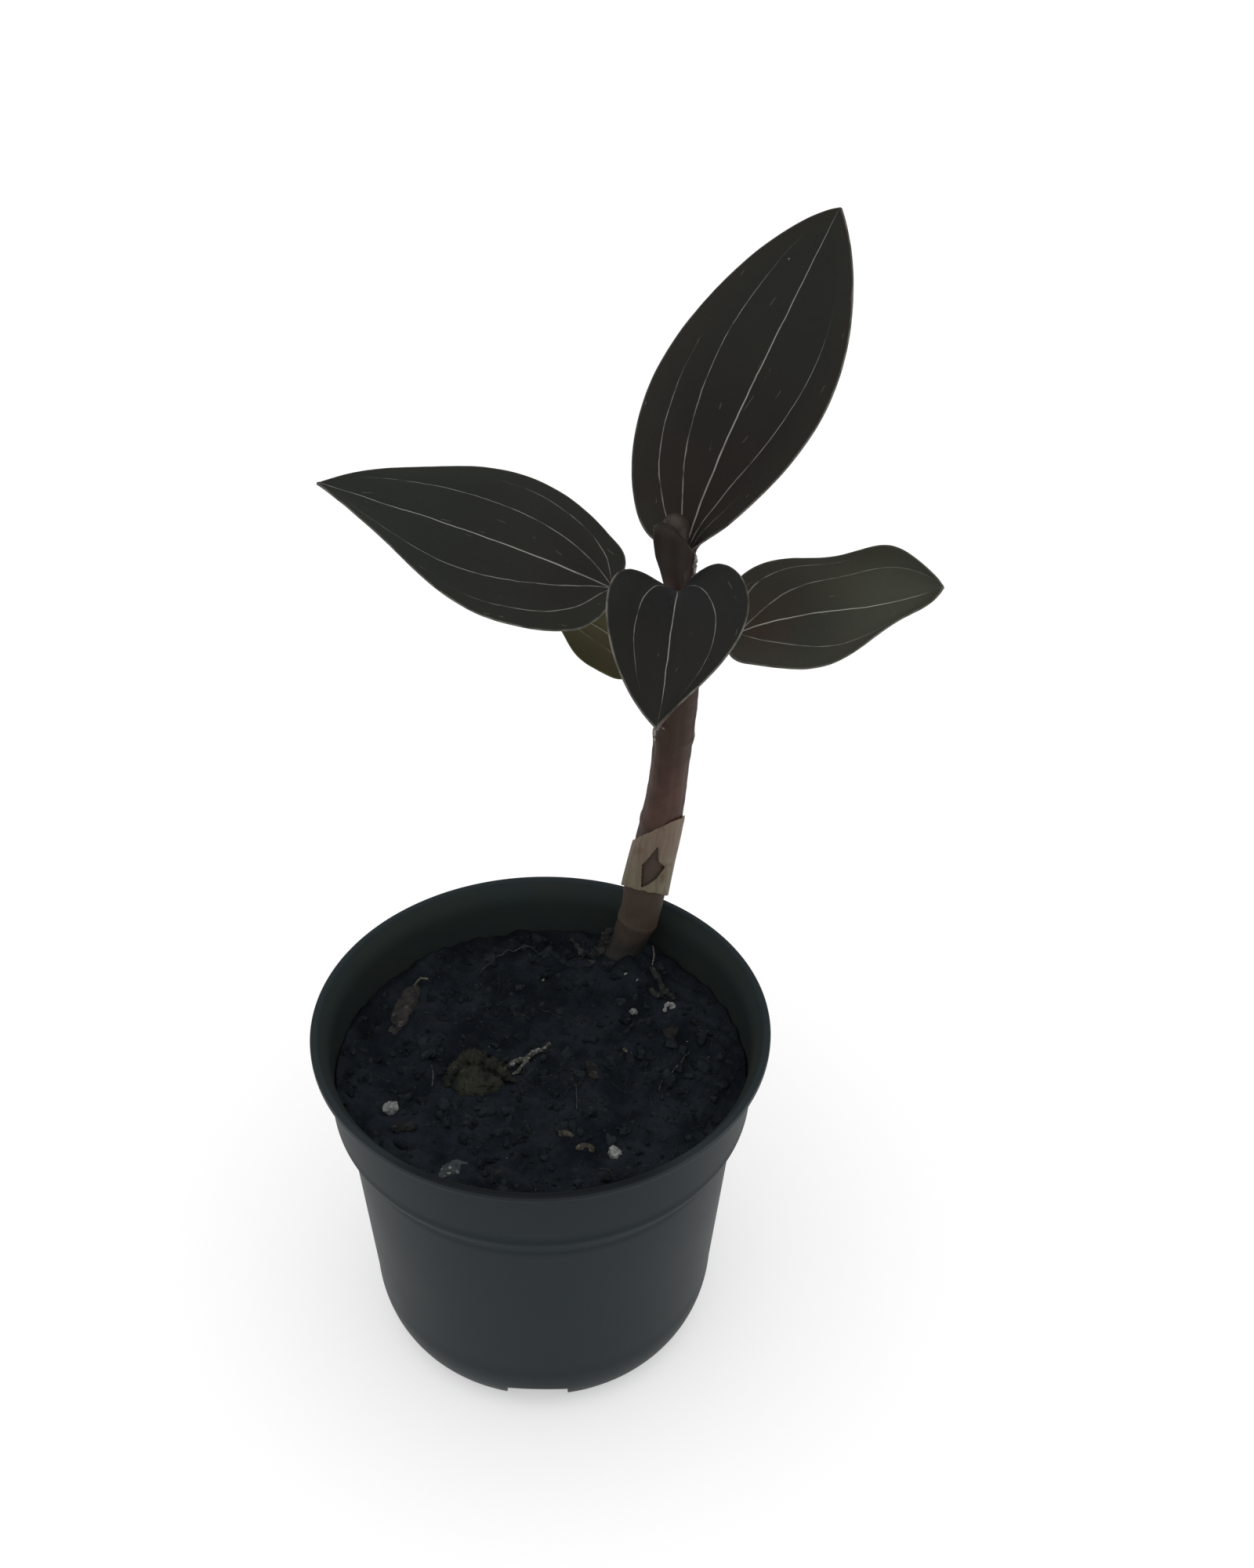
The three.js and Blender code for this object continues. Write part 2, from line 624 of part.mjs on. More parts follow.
function lump(size, seed, detail, extra = 0) {
  const ball = welded(new THREE.IcosahedronGeometry(1, detail));
  const random = seeded(seed);
  const position = ball.attributes.position;
  for (let i = 0; i < position.count; i++) {
    const p = new THREE.Vector3().fromBufferAttribute(position, i).normalize();
    const boxy = 1 / Math.pow(Math.abs(p.x) ** 3 + Math.abs(p.y) ** 3 + Math.abs(p.z) ** 3, 1 / 3);
    const reach = boxy * (0.8 + 0.24 * random());
    position.setXYZ(i,
      p.x * (reach * size[0] / 2 + extra),
      p.y * (reach * size[1] / 2 + extra),
      p.z * (reach * size[2] / 2 + extra));
  }
  return ball;
}

const buriedShare = 0.42; // of every loose bit's height

function placedBit(bit, extra = 0) {
  const detail = Math.max(...bit.size) > 12 ? 2 : 1;
  const geometry = lump(bit.size, bit.seed, detail, extra);
  geometry.rotateZ(bit.turn * radians);
  const [x, y] = bit.at;
  geometry.translate(x, y, soilHeight(x, y) + bit.size[2] * (0.5 - buriedShare) - bit.sink);
  return geometry;
}

function twigSolid(extra = 0) {
  const arms = twig.arms.map((arm) => {
    const path = [];
    for (let s = 0; s <= arm.length - 1 + 1e-6; s += 0.5) {
      const [x, y, h, r] = alongStations(arm, s);
      path.push([x, y, soilHeight(x, y) + h, r]);
    }
    return toSolid(tube(path, 6, extra));
  });
  return arms.reduce((whole, arm) => whole.add(arm));
}

function soilSolid() {
  const sides = pot.segments;
  const wallOutline = insideOutline(gap);
  const points = [[0, 0, pot.floor + gap]];
  const triangles = [];
  const ringAt = (radius, height) => {
    const start = points.length;
    for (let j = 0; j < sides; j++) {
      const a = (2 * Math.PI * j) / sides;
      const x = radius * Math.cos(a);
      const y = radius * Math.sin(a);
      points.push([x, y, height === undefined ? soilHeight(x, y) : height]);
    }
    return start;
  };
  const rings = wallOutline.map(([r, z]) => ringAt(r, z));
  const topRadius = insideRadiusAbove(soil.level) - gap;
  const inward = soil.rings;
  for (let i = 0; i < inward; i++) rings.push(ringAt(topRadius * (1 - i / inward)));
  const crown = points.length;
  points.push([0, 0, soilHeight(0, 0)]);
  for (let j = 0; j < sides; j++) {
    const k = (j + 1) % sides;
    triangles.push([0, rings[0] + k, rings[0] + j]);
    for (let i = 1; i < rings.length; i++) {
      const low = rings[i - 1];
      const high = rings[i];
      triangles.push([low + j, low + k, high + k], [low + j, high + k, high + j]);
    }
    const inner = rings[rings.length - 1];
    triangles.push([inner + j, inner + k, crown]);
  }
  let solid = toSolid(geometryFrom(points, triangles));

  const random = seeded(3);
  for (let i = 0; i < soil.crumbs; i++) {
    const away = soil.crumbReach * Math.sqrt(random());
    const turn = 2 * Math.PI * random();
    const x = away * Math.cos(turn);
    const y = away * Math.sin(turn);
    const size = mix(soil.crumbRadius[0], soil.crumbRadius[1], random() ** 2);
    const crumb = lump([2 * size, 1.6 * size, 1.3 * size], 100 + i, 0);
    crumb.rotateZ(2 * Math.PI * random());
    crumb.translate(x, y, soilHeight(x, y) + 0.12 * size);
    solid = solid.add(toSolid(crumb));
  }
  for (const bit of Object.values(looseBits)) solid = solid.subtract(toSolid(placedBit(bit, gap)));
  solid = solid.subtract(twigSolid(gap)).subtract(stemSolid(gap + 0.05)).subtract(drainSlots(gap));
  const bodies = solid.decompose();
  return bodies.reduce((largest, body) => (body.volume() > largest.volume() ? body : largest));
}

// ---------- assembly ----------

const group = new THREE.Group();

function addPiece(name, geometry, color, roughness) {
  const finish = new THREE.MeshStandardMaterial({ color, roughness, metalness: 0 });
  const mesh = new THREE.Mesh(geometry, finish);
  mesh.name = name;
  group.add(mesh);
}

addPiece("pot", potGeometry(), 0x303536, 0.45);
addPiece("soil", fromSolid(soilSolid()), 0x14181c, 0.95);
addPiece("stem", fromSolid(stemSolid()), 0x3e302e, 0.5);
addPiece("sheath_lower", sheathGeometry(), 0x6e695a, 0.8);
addPiece("shoot_tip", shootTipGeometry(), 0x3a2c2a, 0.5);
for (const [name, leaf] of Object.entries(leaves)) {
  addPiece(name, leafGeometry(leaf), 0x23231e, 0.55);
}
for (const [name, bit] of Object.entries(looseBits)) {
  addPiece(name, placedBit(bit), bit.colour, 0.9);
}
addPiece("lichen_twig", fromSolid(twigSolid()), twig.colour, 0.9);

export default group;
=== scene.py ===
# A young jewel orchid in its nursery pot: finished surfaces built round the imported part.
# Lengths are in millimetres until a mesh is made, +Z up, origin under the middle of the pot.
import math

import bmesh
import bpy
import numpy as np
from mathutils import Matrix, Vector, noise


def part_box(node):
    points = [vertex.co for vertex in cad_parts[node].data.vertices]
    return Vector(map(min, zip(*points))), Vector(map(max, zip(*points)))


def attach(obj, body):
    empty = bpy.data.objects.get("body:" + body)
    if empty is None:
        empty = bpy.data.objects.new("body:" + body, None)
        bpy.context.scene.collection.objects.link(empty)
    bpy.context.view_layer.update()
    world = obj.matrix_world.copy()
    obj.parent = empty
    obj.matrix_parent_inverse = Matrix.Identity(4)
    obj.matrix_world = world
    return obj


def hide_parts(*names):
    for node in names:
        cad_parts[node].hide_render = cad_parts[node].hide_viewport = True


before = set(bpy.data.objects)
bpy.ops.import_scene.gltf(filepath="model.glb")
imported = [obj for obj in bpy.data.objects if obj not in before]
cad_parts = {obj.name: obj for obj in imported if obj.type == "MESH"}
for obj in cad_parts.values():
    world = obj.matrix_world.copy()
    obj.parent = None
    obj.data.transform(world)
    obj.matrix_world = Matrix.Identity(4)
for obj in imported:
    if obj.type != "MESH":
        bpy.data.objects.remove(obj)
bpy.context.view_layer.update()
mm = 0.001
print("frame loaded,", len(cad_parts), "nodes")


# Shared helpers

def linear(hexColour):
    channels = [int(hexColour[i:i + 2], 16) / 255 for i in (1, 3, 5)]
    return [c / 12.92 if c <= 0.04045 else ((c + 0.055) / 1.055) ** 2.4 for c in channels] + [1.0]


def perMetre(size):
    return 1000 / size  # texture scale for features of that many millimetres


def mix(a, b, t):
    return a + (b - a) * t


def smooth(t):
    return t * t * (3 - 2 * t)


def ramp(low, high, value):
    return smooth(np.clip((value - low) / (high - low), 0, 1))


def throughThree(values, t):
    a, b, c = values
    return a * (1 - t) * (1 - 2 * t) + 4 * b * t * (1 - t) + c * t * (2 * t - 1)


def alongStations(stations, steps):
    # a Catmull-Rom line through the stations, with that many steps between neighbours
    table = np.array(stations, float)
    last = len(table) - 1
    s = np.linspace(0, last, last * steps + 1)
    i = np.minimum(last - 1, s.astype(int))
    t = (s - i)[:, None]
    p0, p1 = table[np.maximum(0, i - 1)], table[i]
    p2, p3 = table[i + 1], table[np.minimum(last, i + 2)]
    return 0.5 * (2 * p1 + (p2 - p0) * t + (2 * p0 - 5 * p1 + 4 * p2 - p3) * t ** 2
                  + (3 * p1 - p0 - 3 * p2 + p3) * t ** 3)


def lumps(points, size, seed=0.0, octaves=3):
    # fractal noise from -1 to 1 at each point, with features of that size in millimetres
    shift = Vector((seed * 7.3, seed * 3.1, seed * 5.7))
    flat = np.asarray(points, float).reshape(-1, 3) / size
    values = [noise.fractal(Vector(p) + shift, 0.9, 2.1, octaves) for p in flat]
    return np.array(values).reshape(np.asarray(points).shape[:-1])


def fullTurn(sides):
    return np.linspace(0, 2 * math.pi, sides, endpoint=False)


def gridFaces(rows, columns, start=0, closed=False, flip=False):
    i, j = np.meshgrid(np.arange(rows - 1), np.arange(columns if closed else columns - 1), indexing="ij")
    k = (j + 1) % columns
    quads = np.stack([i * columns + j, i * columns + k, (i + 1) * columns + k, (i + 1) * columns + j], -1)
    quads = quads.reshape(-1, 4) + start
    return quads[:, ::-1] if flip else quads


def addMesh(name, points, faces, materials, faceMaterials=None, smoothed=True):
    mesh = bpy.data.meshes.new(name)
    mesh.from_pydata((np.asarray(points, float).reshape(-1, 3) * mm).tolist(), [], [list(f) for f in faces])
    for material in materials:
        mesh.materials.append(material)
    if faceMaterials is not None:
        mesh.polygons.foreach_set("material_index", np.asarray(faceMaterials, np.int32))
    mesh.polygons.foreach_set("use_smooth", np.full(len(mesh.polygons), smoothed))
    mesh.update()
    piece = bpy.data.objects.new(name, mesh)
    bpy.context.scene.collection.objects.link(piece)
    return piece


def addVectors(piece, name, values):
    table = np.asarray(values, np.float32).reshape(-1, 3)
    piece.data.attributes.new(name, "FLOAT_VECTOR", "POINT").data.foreach_set("vector", table.ravel())


def settle(piece, slot, *nodes):
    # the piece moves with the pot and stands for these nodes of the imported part
    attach(piece, "root")
    if nodes:
        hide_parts(*nodes)
    return piece


def tubePoints(path, sides):
    # rings of points round a line of x, y, z, radius, with domed ends
    line = np.asarray(path, float)
    centres, radii = line[:, :3], line[:, 3]
    headings = np.gradient(centres, axis=0)
    headings /= np.linalg.norm(headings, axis=1, keepdims=True)
    dome = np.radians([80, 60, 40, 20])
    before = [centres[0] - headings[0] * radii[0] * 0.8 * math.sin(a) for a in dome]
    after = [centres[-1] + headings[-1] * radii[-1] * 0.8 * math.sin(a) for a in dome[::-1]]
    centres = np.vstack([before, centres, after])
    radii = np.concatenate([radii[0] * np.cos(dome), radii, radii[-1] * np.cos(dome[::-1])])
    headings = np.vstack([[headings[0]] * 4, headings, [headings[-1]] * 4])
    side = np.array([1.0, 0.0, 0.0])
    turn = fullTurn(sides)
    rings = []
    for centre, radius, heading in zip(centres, radii, headings):
        side = side - heading * side.dot(heading)
        side /= np.linalg.norm(side)
        other = np.cross(heading, side)
        rings.append(centre + radius * (np.outer(np.cos(turn), side) + np.outer(np.sin(turn), other)))
    return np.array(rings)


def tubeFaces(rings, sides, start=0):
    sidesOfTube = gridFaces(rings, sides, start, closed=True).tolist()
    first = list(range(start, start + sides))[::-1]
    last = list(range(start + (rings - 1) * sides, start + rings * sides))
    return sidesOfTube + [first, last]


def joinTubes(tubes):
    # closed tubes, each an array of rings, as one list of points and one of faces
    points, faces, start = [], [], 0
    for tube in tubes:
        rings, sides = tube.shape[:2]
        faces += tubeFaces(rings, sides, start)
        points.append(tube.reshape(-1, 3))
        start += rings * sides
    return np.vstack(points), faces


def roughTube(path, sides, depth, grain, seed, octaves=3, girth=1.0):
    # a tube with a broken skin: depth is a share of its radius, grain the size of the breaks in mm
    tube = tubePoints(path, sides)
    centres = tube.mean(axis=1, keepdims=True)
    return centres + (tube - centres) * (girth + depth * lumps(tube, grain, seed, octaves))[..., None]


def sheetShell(front, back):
    # a thin sheet with two faces, front first, closed all round its edge
    rows, columns = front.shape[:2]
    count = rows * columns
    grid = np.arange(count).reshape(rows, columns)
    loop = np.concatenate([grid[0, :], grid[1:, -1], grid[-1, -2::-1], grid[-2:0:-1, 0]])
    rim = [[a, b, b + count, a + count] for a, b in zip(loop, np.roll(loop, -1))]
    points = np.vstack([front.reshape(-1, 3), back.reshape(-1, 3)])
    ahead = gridFaces(rows, columns, flip=True).tolist()
    behind = gridFaces(rows, columns, count).tolist()
    return points, ahead, behind, rim


def icoBall(detail):
    # a unit icosphere's points and triangles
    mesh = bpy.data.meshes.new("ball")
    ball = bmesh.new()
    bmesh.ops.create_icosphere(ball, subdivisions=detail, radius=1)
    ball.to_mesh(mesh)
    ball.free()
    points = np.array([v.co[:] for v in mesh.vertices])
    faces = np.array([p.vertices[:] for p in mesh.polygons])
    bpy.data.meshes.remove(mesh)
    return points, faces


def addNode(tree, kind, inputs=(), **settings):
    # Inputs are a list in the node's own order, or a dictionary by name or number. A node stands for its
    # first live output, and a string for a colour. A colour Mix has its share at 0, its colours at 6 and 7.
    node = tree.nodes.new("ShaderNode" + kind)
    for name, value in settings.items():
        setattr(node, name, value)
    for key, value in inputs.items() if isinstance(inputs, dict) else enumerate(inputs):
        if isinstance(value, bpy.types.Node):
            value = next(socket for socket in value.outputs if socket.enabled)
        if isinstance(value, bpy.types.NodeSocket):
            tree.links.new(value, node.inputs[key])
        else:
            node.inputs[key].default_value = linear(value) if isinstance(value, str) else value
    return node


eased = {"interpolation_type": "SMOOTHSTEP"}  # a range that eases in and out


def inMetres(sizes):
    return [size * mm for size in sizes]  # for a material, which reads places in metres


def newMaterial(name):
    # the material, its empty tree, and the place on the object in metres for its patterns
    material = bpy.data.materials.new(name)
    material.use_nodes = True
    tree = material.node_tree
    tree.nodes.clear()
    return material, tree, addNode(tree, "TexCoord").outputs["Object"]


def layColours(tree, colour, layers):
    # lays each colour over the ones before it by its share
    for share, over in layers:
        colour = addNode(tree, "Mix", {0: share, 6: colour, 7: over}, data_type="RGBA")
    return colour


def finishMaterial(tree, relief, strength, depth, finish):
    # the surface's relief, as deep as that many millimetres, then its shader and the output
    bump = addNode(tree, "Bump", {"Height": relief, "Strength": strength, "Distance": depth * mm})
    shader = addNode(tree, "BsdfPrincipled", {"Normal": bump, **finish})
    addNode(tree, "OutputMaterial", {"Surface": shader})


# Leaf and stem surfaces

leafLook = {
    "midribWidth": 0.31,     # mm at the base of the blade, thinning to the tip
    "veinWidth": 0.21,
    "veinColour": "#8a8984",
    "rimWidth": 0.35,
    "wobble": 0.16,          # how far a vein wanders, mm
    "dashEvery": 2.6,        # mm from a vein to the next row of dashes
    "papillae": 0.6,         # the velvet's cells are drawn about four times as coarse as real ones
    "roughness": 0.6,
    "specular": 0.1,
    "stalk": "#2c2420",
    "dust": "#a9a79e",
}


def readGuide(tree, name):
    # the three numbers that each point of a leaf carries under that name
    stored = addNode(tree, "Attribute", attribute_name=name)
    return addNode(tree, "SeparateXYZ", [stored.outputs["Vector"]]).outputs


def makeLeafSkin(name, base, skin, blotch, margin, tip, rim="#7b7871", midrib="#a4a29d"):
    # Velvet upper skin with sunken pale veins: near-black cells keep it matt, and thin lines catch light
    material, tree, spot = newMaterial(name)
    veinAt, veinShow, bladeAt = [readGuide(tree, guide) for guide in ("veinAt", "veinShow", "bladeAt")]
    look = leafLook
    wander = addNode(tree, "TexNoise", {"Vector": spot, "Scale": perMetre(9), "Detail": 2.0})
    shiftBy = addNode(tree, "MapRange", [wander, 0.3, 0.7, -look["wobble"], look["wobble"]])
    broken = addNode(tree, "TexNoise", {"Vector": spot, "Scale": perMetre(4), "Detail": 3.0})
    thin = addNode(tree, "MapRange", [bladeAt["Y"], 0.0, 1.0, 1.0, 0.4])
    veins = []
    for channel, width, weakest in (("X", look["midribWidth"], 0.6), ("Y", look["veinWidth"], 0.25),
                                    ("Z", 0.8 * look["veinWidth"], 0.15)):
        moved = addNode(tree, "Math", [veinAt[channel], shiftBy], operation="ADD")
        distance = addNode(tree, "Math", [moved], operation="ABSOLUTE")
        near = addNode(tree, "Math", [distance, thin], operation="DIVIDE")
        line = addNode(tree, "MapRange", [near, 0.3 * width, width, 1.0, 0.0], **eased)
        uneven = addNode(tree, "MapRange", [broken, 0.34, 0.56, weakest, 1.0])
        shown = addNode(tree, "Math", [line, veinShow[channel]], operation="MULTIPLY")
        veins.append(addNode(tree, "Math", [shown, uneven], operation="MULTIPLY"))
    # short pale dashes lie between the main veins, most of them hidden
    between = addNode(tree, "Math", [veinAt["Y"], look["dashEvery"]], operation="PINGPONG")
    dash = addNode(tree, "MapRange", [between, 0.04, 0.13, 0.3, 0.0], **eased)
    rare = addNode(tree, "MapRange", [broken, 0.59, 0.67], **eased)
    dashes = addNode(tree, "Math", [dash, rare], operation="MULTIPLY")
    pair = addNode(tree, "Math", [veins[1], veins[2]], operation="MAXIMUM")
    sides = addNode(tree, "Math", [pair, dashes], operation="MAXIMUM")
    allVeins = addNode(tree, "Math", [sides, veins[0]], operation="MAXIMUM")

    patches = addNode(tree, "TexNoise", {"Vector": spot, "Scale": perMetre(22), "Detail": 4.0,
                      "Roughness": 0.6})
    patchy = addNode(tree, "MapRange", [patches, 0.35, 0.65], **eased)
    toTip = addNode(tree, "MapRange", [bladeAt["Y"], 0.3, 0.75], **eased)
    toBase = addNode(tree, "MapRange", [bladeAt["Y"], 0.02, 0.4, 1.0, 0.0], **eased)
    toMargin = addNode(tree, "MapRange", [bladeAt["X"], 0.0, 9.0, 0.8, 0.0], **eased)
    # the margin is a hair-thin pale line, worn away in places
    edge = addNode(tree, "MapRange", [bladeAt["X"], 0.0, look["rimWidth"], 0.9, 0.0])
    worn = addNode(tree, "MapRange", [broken, 0.35, 0.6, 0.2, 1.0])
    edgeShare = addNode(tree, "Math", [edge, worn], operation="MULTIPLY")
    # the channelled stalk is red-brown like the stem
    stalk = addNode(tree, "MapRange", [bladeAt["Y"], -0.05, 0.05, 1.0, 0.0], **eased)
    # dust: pale specks smaller than a pinhead, a few on each blade
    specks = addNode(tree, "TexVoronoi", {"Vector": spot, "Scale": perMetre(13)})
    speck = addNode(tree, "MapRange", [specks, 0.01, 0.018, 0.6, 0.0])
    colour = layColours(tree, skin, [
        (patchy, blotch), (toTip, tip), (toBase, base), (toMargin, margin), (sides, look["veinColour"]),
        (veins[0], midrib), (edgeShare, rim), (stalk, look["stalk"]), (speck, look["dust"])])

    cells = addNode(tree, "TexVoronoi", {"Vector": spot, "Scale": perMetre(look["papillae"])})
    sunk = addNode(tree, "Math", [allVeins, -0.8], operation="MULTIPLY")
    cellHeight = addNode(tree, "Math", [cells, -0.35], operation="MULTIPLY")
    relief = addNode(tree, "Math", [sunk, cellHeight], operation="ADD")
    rough = look["roughness"]
    sheen = addNode(tree, "MapRange", [patches, 0.3, 0.7, rough - 0.08, rough + 0.1])
    finishMaterial(tree, relief, 0.3, 0.2, {
        "Base Color": colour, "Roughness": sheen, "Specular IOR Level": look["specular"],
        "Subsurface Weight": 0.1, "Subsurface Radius": (0.9, 0.8, 0.3), "Subsurface Scale": mm})
    return material


undersideLook = {"dark": "#3b1a1f", "light": "#4a2429", "rib": "#6b4743", "stalkDark": "#292220",
                 "stalkLight": "#372e2a"}


def makeLeafUnderside():
    # Smooth burgundy underside with raised veins: the red that shows when a leaf turns over
    material, tree, spot = newMaterial("leaf underside, smooth burgundy")
    veinAt, bladeAt = readGuide(tree, "veinAt"), readGuide(tree, "bladeAt")
    lines = []
    for channel, width, share in (("X", 1.1, 1.0), ("Y", 0.5, 0.7), ("Z", 0.4, 0.5)):
        distance = addNode(tree, "Math", [veinAt[channel]], operation="ABSOLUTE")
        lines.append(addNode(tree, "MapRange", [distance, 0.0, width, share, 0.0], **eased))
    pair = addNode(tree, "Math", [lines[1], lines[2]], operation="MAXIMUM")
    ribs = addNode(tree, "Math", [pair, lines[0]], operation="MAXIMUM")
    patches = addNode(tree, "TexNoise", {"Vector": spot, "Scale": perMetre(14), "Detail": 4.0})
    stalk = addNode(tree, "MapRange", [bladeAt["Y"], -0.06, 0.06, 1.0, 0.0], **eased)
    stalkPatches = addNode(tree, "TexNoise", {"Vector": spot, "Scale": perMetre(3), "Detail": 4.0})
    look = undersideLook
    stalkSkin = layColours(tree, look["stalkDark"], [(stalkPatches, look["stalkLight"])])
    colour = layColours(tree, look["dark"], [(patches, look["light"]), (ribs, look["rib"]),
                                             (stalk, stalkSkin)])
    grain = addNode(tree, "TexNoise", {"Vector": spot, "Scale": perMetre(0.8), "Detail": 3.0})
    height = addNode(tree, "Math", [ribs, grain], operation="ADD")
    finishMaterial(tree, height, 0.4, 0.4, {
        "Base Color": colour, "Roughness": 0.48, "Specular IOR Level": 0.25,
        "Subsurface Weight": 0.1, "Subsurface Radius": (1.0, 0.4, 0.3), "Subsurface Scale": mm})
    return material


stemLook = {
    "dark": "#352823", "light": "#483932", "pink": "#5c463f", "lower": "#594d45", "soil": "#363632",
    "pore": "#7a6a5e",
    # heights in mm: the pink comes in, is full, fades and ends; the grey foot and the clinging peat end
    "pinkHeights": [108, 126, 132, 150], "lowerHeights": [112, 122], "soilHeights": [78.5, 85],
    "poreSpacing": 1.7, "streakWidth": 2.2,
}


def makeStemSkin():
    # Fleshy succulent stem: red-brown skin, pinker on the middle internodes, with pale pores and ridges
    material, tree, spot = newMaterial("stem skin, fleshy and ridged")
    look = stemLook
    height = addNode(tree, "SeparateXYZ", [spot]).outputs["Z"]
    upright = addNode(tree, "Mapping", {"Vector": spot, "Scale": (1.0, 1.0, 0.16)})
    streaks = addNode(tree, "TexNoise", {"Vector": upright, "Scale": perMetre(look["streakWidth"]),
                      "Detail": 4.0, "Roughness": 0.55})
    patches = addNode(tree, "TexNoise", {"Vector": spot, "Scale": perMetre(8), "Detail": 3.0})
    comesIn, full, fades, ends = inMetres(look["pinkHeights"])
    rising = addNode(tree, "MapRange", [height, comesIn, full], **eased)
    falling = addNode(tree, "MapRange", [height, fades, ends, 1.0, 0.0], **eased)
    band = addNode(tree, "Math", [rising, falling], operation="MULTIPLY")
    patchy = addNode(tree, "MapRange", [patches, 0.35, 0.6, 0.2, 0.9])
    pink = addNode(tree, "Math", [band, patchy], operation="MULTIPLY")
    lower = addNode(tree, "MapRange", [height, *inMetres(look["lowerHeights"]), 1.0, 0.0], **eased)
    # peat clings to the foot, where the stem goes into the bed
    clinging = addNode(tree, "Math", [patches, 12 * mm], operation="MULTIPLY")
    soilLine = addNode(tree, "Math", [height, clinging], operation="SUBTRACT")
    soiling = addNode(tree, "MapRange", [soilLine, *inMetres(look["soilHeights"]), 0.9, 0.0], **eased)
    pores = addNode(tree, "TexVoronoi", {"Vector": spot, "Scale": perMetre(look["poreSpacing"])})
    pore = addNode(tree, "MapRange", [pores, 0.06, 0.14, 0.2, 0.0])
    colour = layColours(tree, look["dark"], [(streaks, look["light"]), (pink, look["pink"]),
                                             (lower, look["lower"]), (soiling, look["soil"]),
                                             (pore, look["pore"])])
    relief = addNode(tree, "Math", [streaks, pore], operation="ADD")
    finishMaterial(tree, relief, 0.35, 0.4, {
        "Base Color": colour, "Roughness": 0.58, "Specular IOR Level": 0.14,
        "Subsurface Weight": 0.2, "Subsurface Radius": (1.6, 0.6, 0.4), "Subsurface Scale": mm})
    return material


sheathLook = {"dark": "#736b5c", "light": "#8e866f", "warm": "#7e695e", "stain": "#5d4a3e",
              "warmHeights": [104, 117], "fibreWidth": 0.9}


def makeDrySheath():
    # Papery bract dried on the stem: a pale, half-clear skin with faint fibres, matt against the live stem
    material, tree, spot = newMaterial("dried sheath, papery fibres")
    look = sheathLook
    height = addNode(tree, "SeparateXYZ", [spot]).outputs["Z"]
    upright = addNode(tree, "Mapping", {"Vector": spot, "Scale": (1.0, 1.0, 0.07)})
    fibres = addNode(tree, "TexNoise", {"Vector": upright, "Scale": perMetre(look["fibreWidth"]),
                     "Detail": 3.0, "Roughness": 0.55})
    stains = addNode(tree, "TexNoise", {"Vector": spot, "Scale": perMetre(5), "Detail": 3.0})
    fibreShare = addNode(tree, "MapRange", [fibres, 0.3, 0.7])
    # pinker where the stem shows through the upper half
    through = addNode(tree, "MapRange", [height, *inMetres(look["warmHeights"]), 0.0, 0.6], **eased)
    stainShare = addNode(tree, "MapRange", [stains, 0.52, 0.72, 0.0, 0.5], **eased)
    colour = layColours(tree, look["dark"], [(fibreShare, look["light"]), (through, look["warm"]),
                                             (stainShare, look["stain"])])
    finishMaterial(tree, fibres, 0.3, 0.3, {
        "Base Color": colour, "Roughness": 0.7, "Specular IOR Level": 0.25,
        "Subsurface Weight": 0.3, "Subsurface Radius": (1.5, 1.1, 0.7), "Subsurface Scale": mm})
    return material


leafUnderside = makeLeafUnderside()
stemSkin = makeStemSkin()
drySheath = makeDrySheath()
print("plant surfaces made")


# Stem, with its roots

stemSizes = {
    "stations": [  # x, y, z, radius from the buried end to the tip
        [0, 27, 62, 3.4], [7.6, 31.6, 66.5, 3.7], [13.6, 35, 73.5, 3.9], [18.8, 36.4, 82, 4.25],
        [22.0, 36.9, 91, 4.7], [23.2, 36.9, 99, 5.0], [24.7, 36.6, 110, 4.9], [27.0, 36.2, 124, 4.7],
        [28.2, 35.7, 137, 4.4], [29.0, 35.2, 149, 4.55], [29.4, 34.8, 160, 4.7], [29.4, 34.2, 174, 4.1],
        [28.9, 33.8, 181.5, 2.3], [28.7, 33.6, 187.4, 1.2]],
    "nodeHeights": [90, 121.5, 146.5, 168],
    "nodeSwell": 0.3,
    "sides": 64,
    # station it leaves from, heading, reach, dip, radius; the last five are stubs at the foot of the stem
    "roots": [[0.4, 205, 24, 14, 1.5], [0.9, 300, 30, 22, 1.5], [1.5, 250, 26, 30, 1.5],
              [1.9, 272, 18, 34, 1.5], [2.6, 182, 7, 0.6, 1.5], [2.75, 186, 4.4, 1.2, 3.2],
              [2.4, 216, 9, 1.0, 0.9], [2.5, 245, 8, 2.0, 0.8], [2.6, 300, 5, 4.5, 0.6]],
    "stationSteps": 24,
}
stemLine = alongStations(stemSizes["stations"], stemSizes["stationSteps"])
for nodeHeight in stemSizes["nodeHeights"]:
    stemLine[:, 3] += stemSizes["nodeSwell"] * np.exp(-((stemLine[:, 2] - nodeHeight) / 1.6) ** 2)
    stemLine[:, 3] -= 0.1 * np.exp(-((stemLine[:, 2] - nodeHeight - 0.9) / 0.4) ** 2)  # scar groove


def stemAt(z):
    # the stem's middle and radius at a height, above its buried first three stations
    upright = stemLine[3 * stemSizes["stationSteps"]:]
    return [np.interp(z, upright[:, 2], upright[:, k]) for k in (0, 1, 3)]


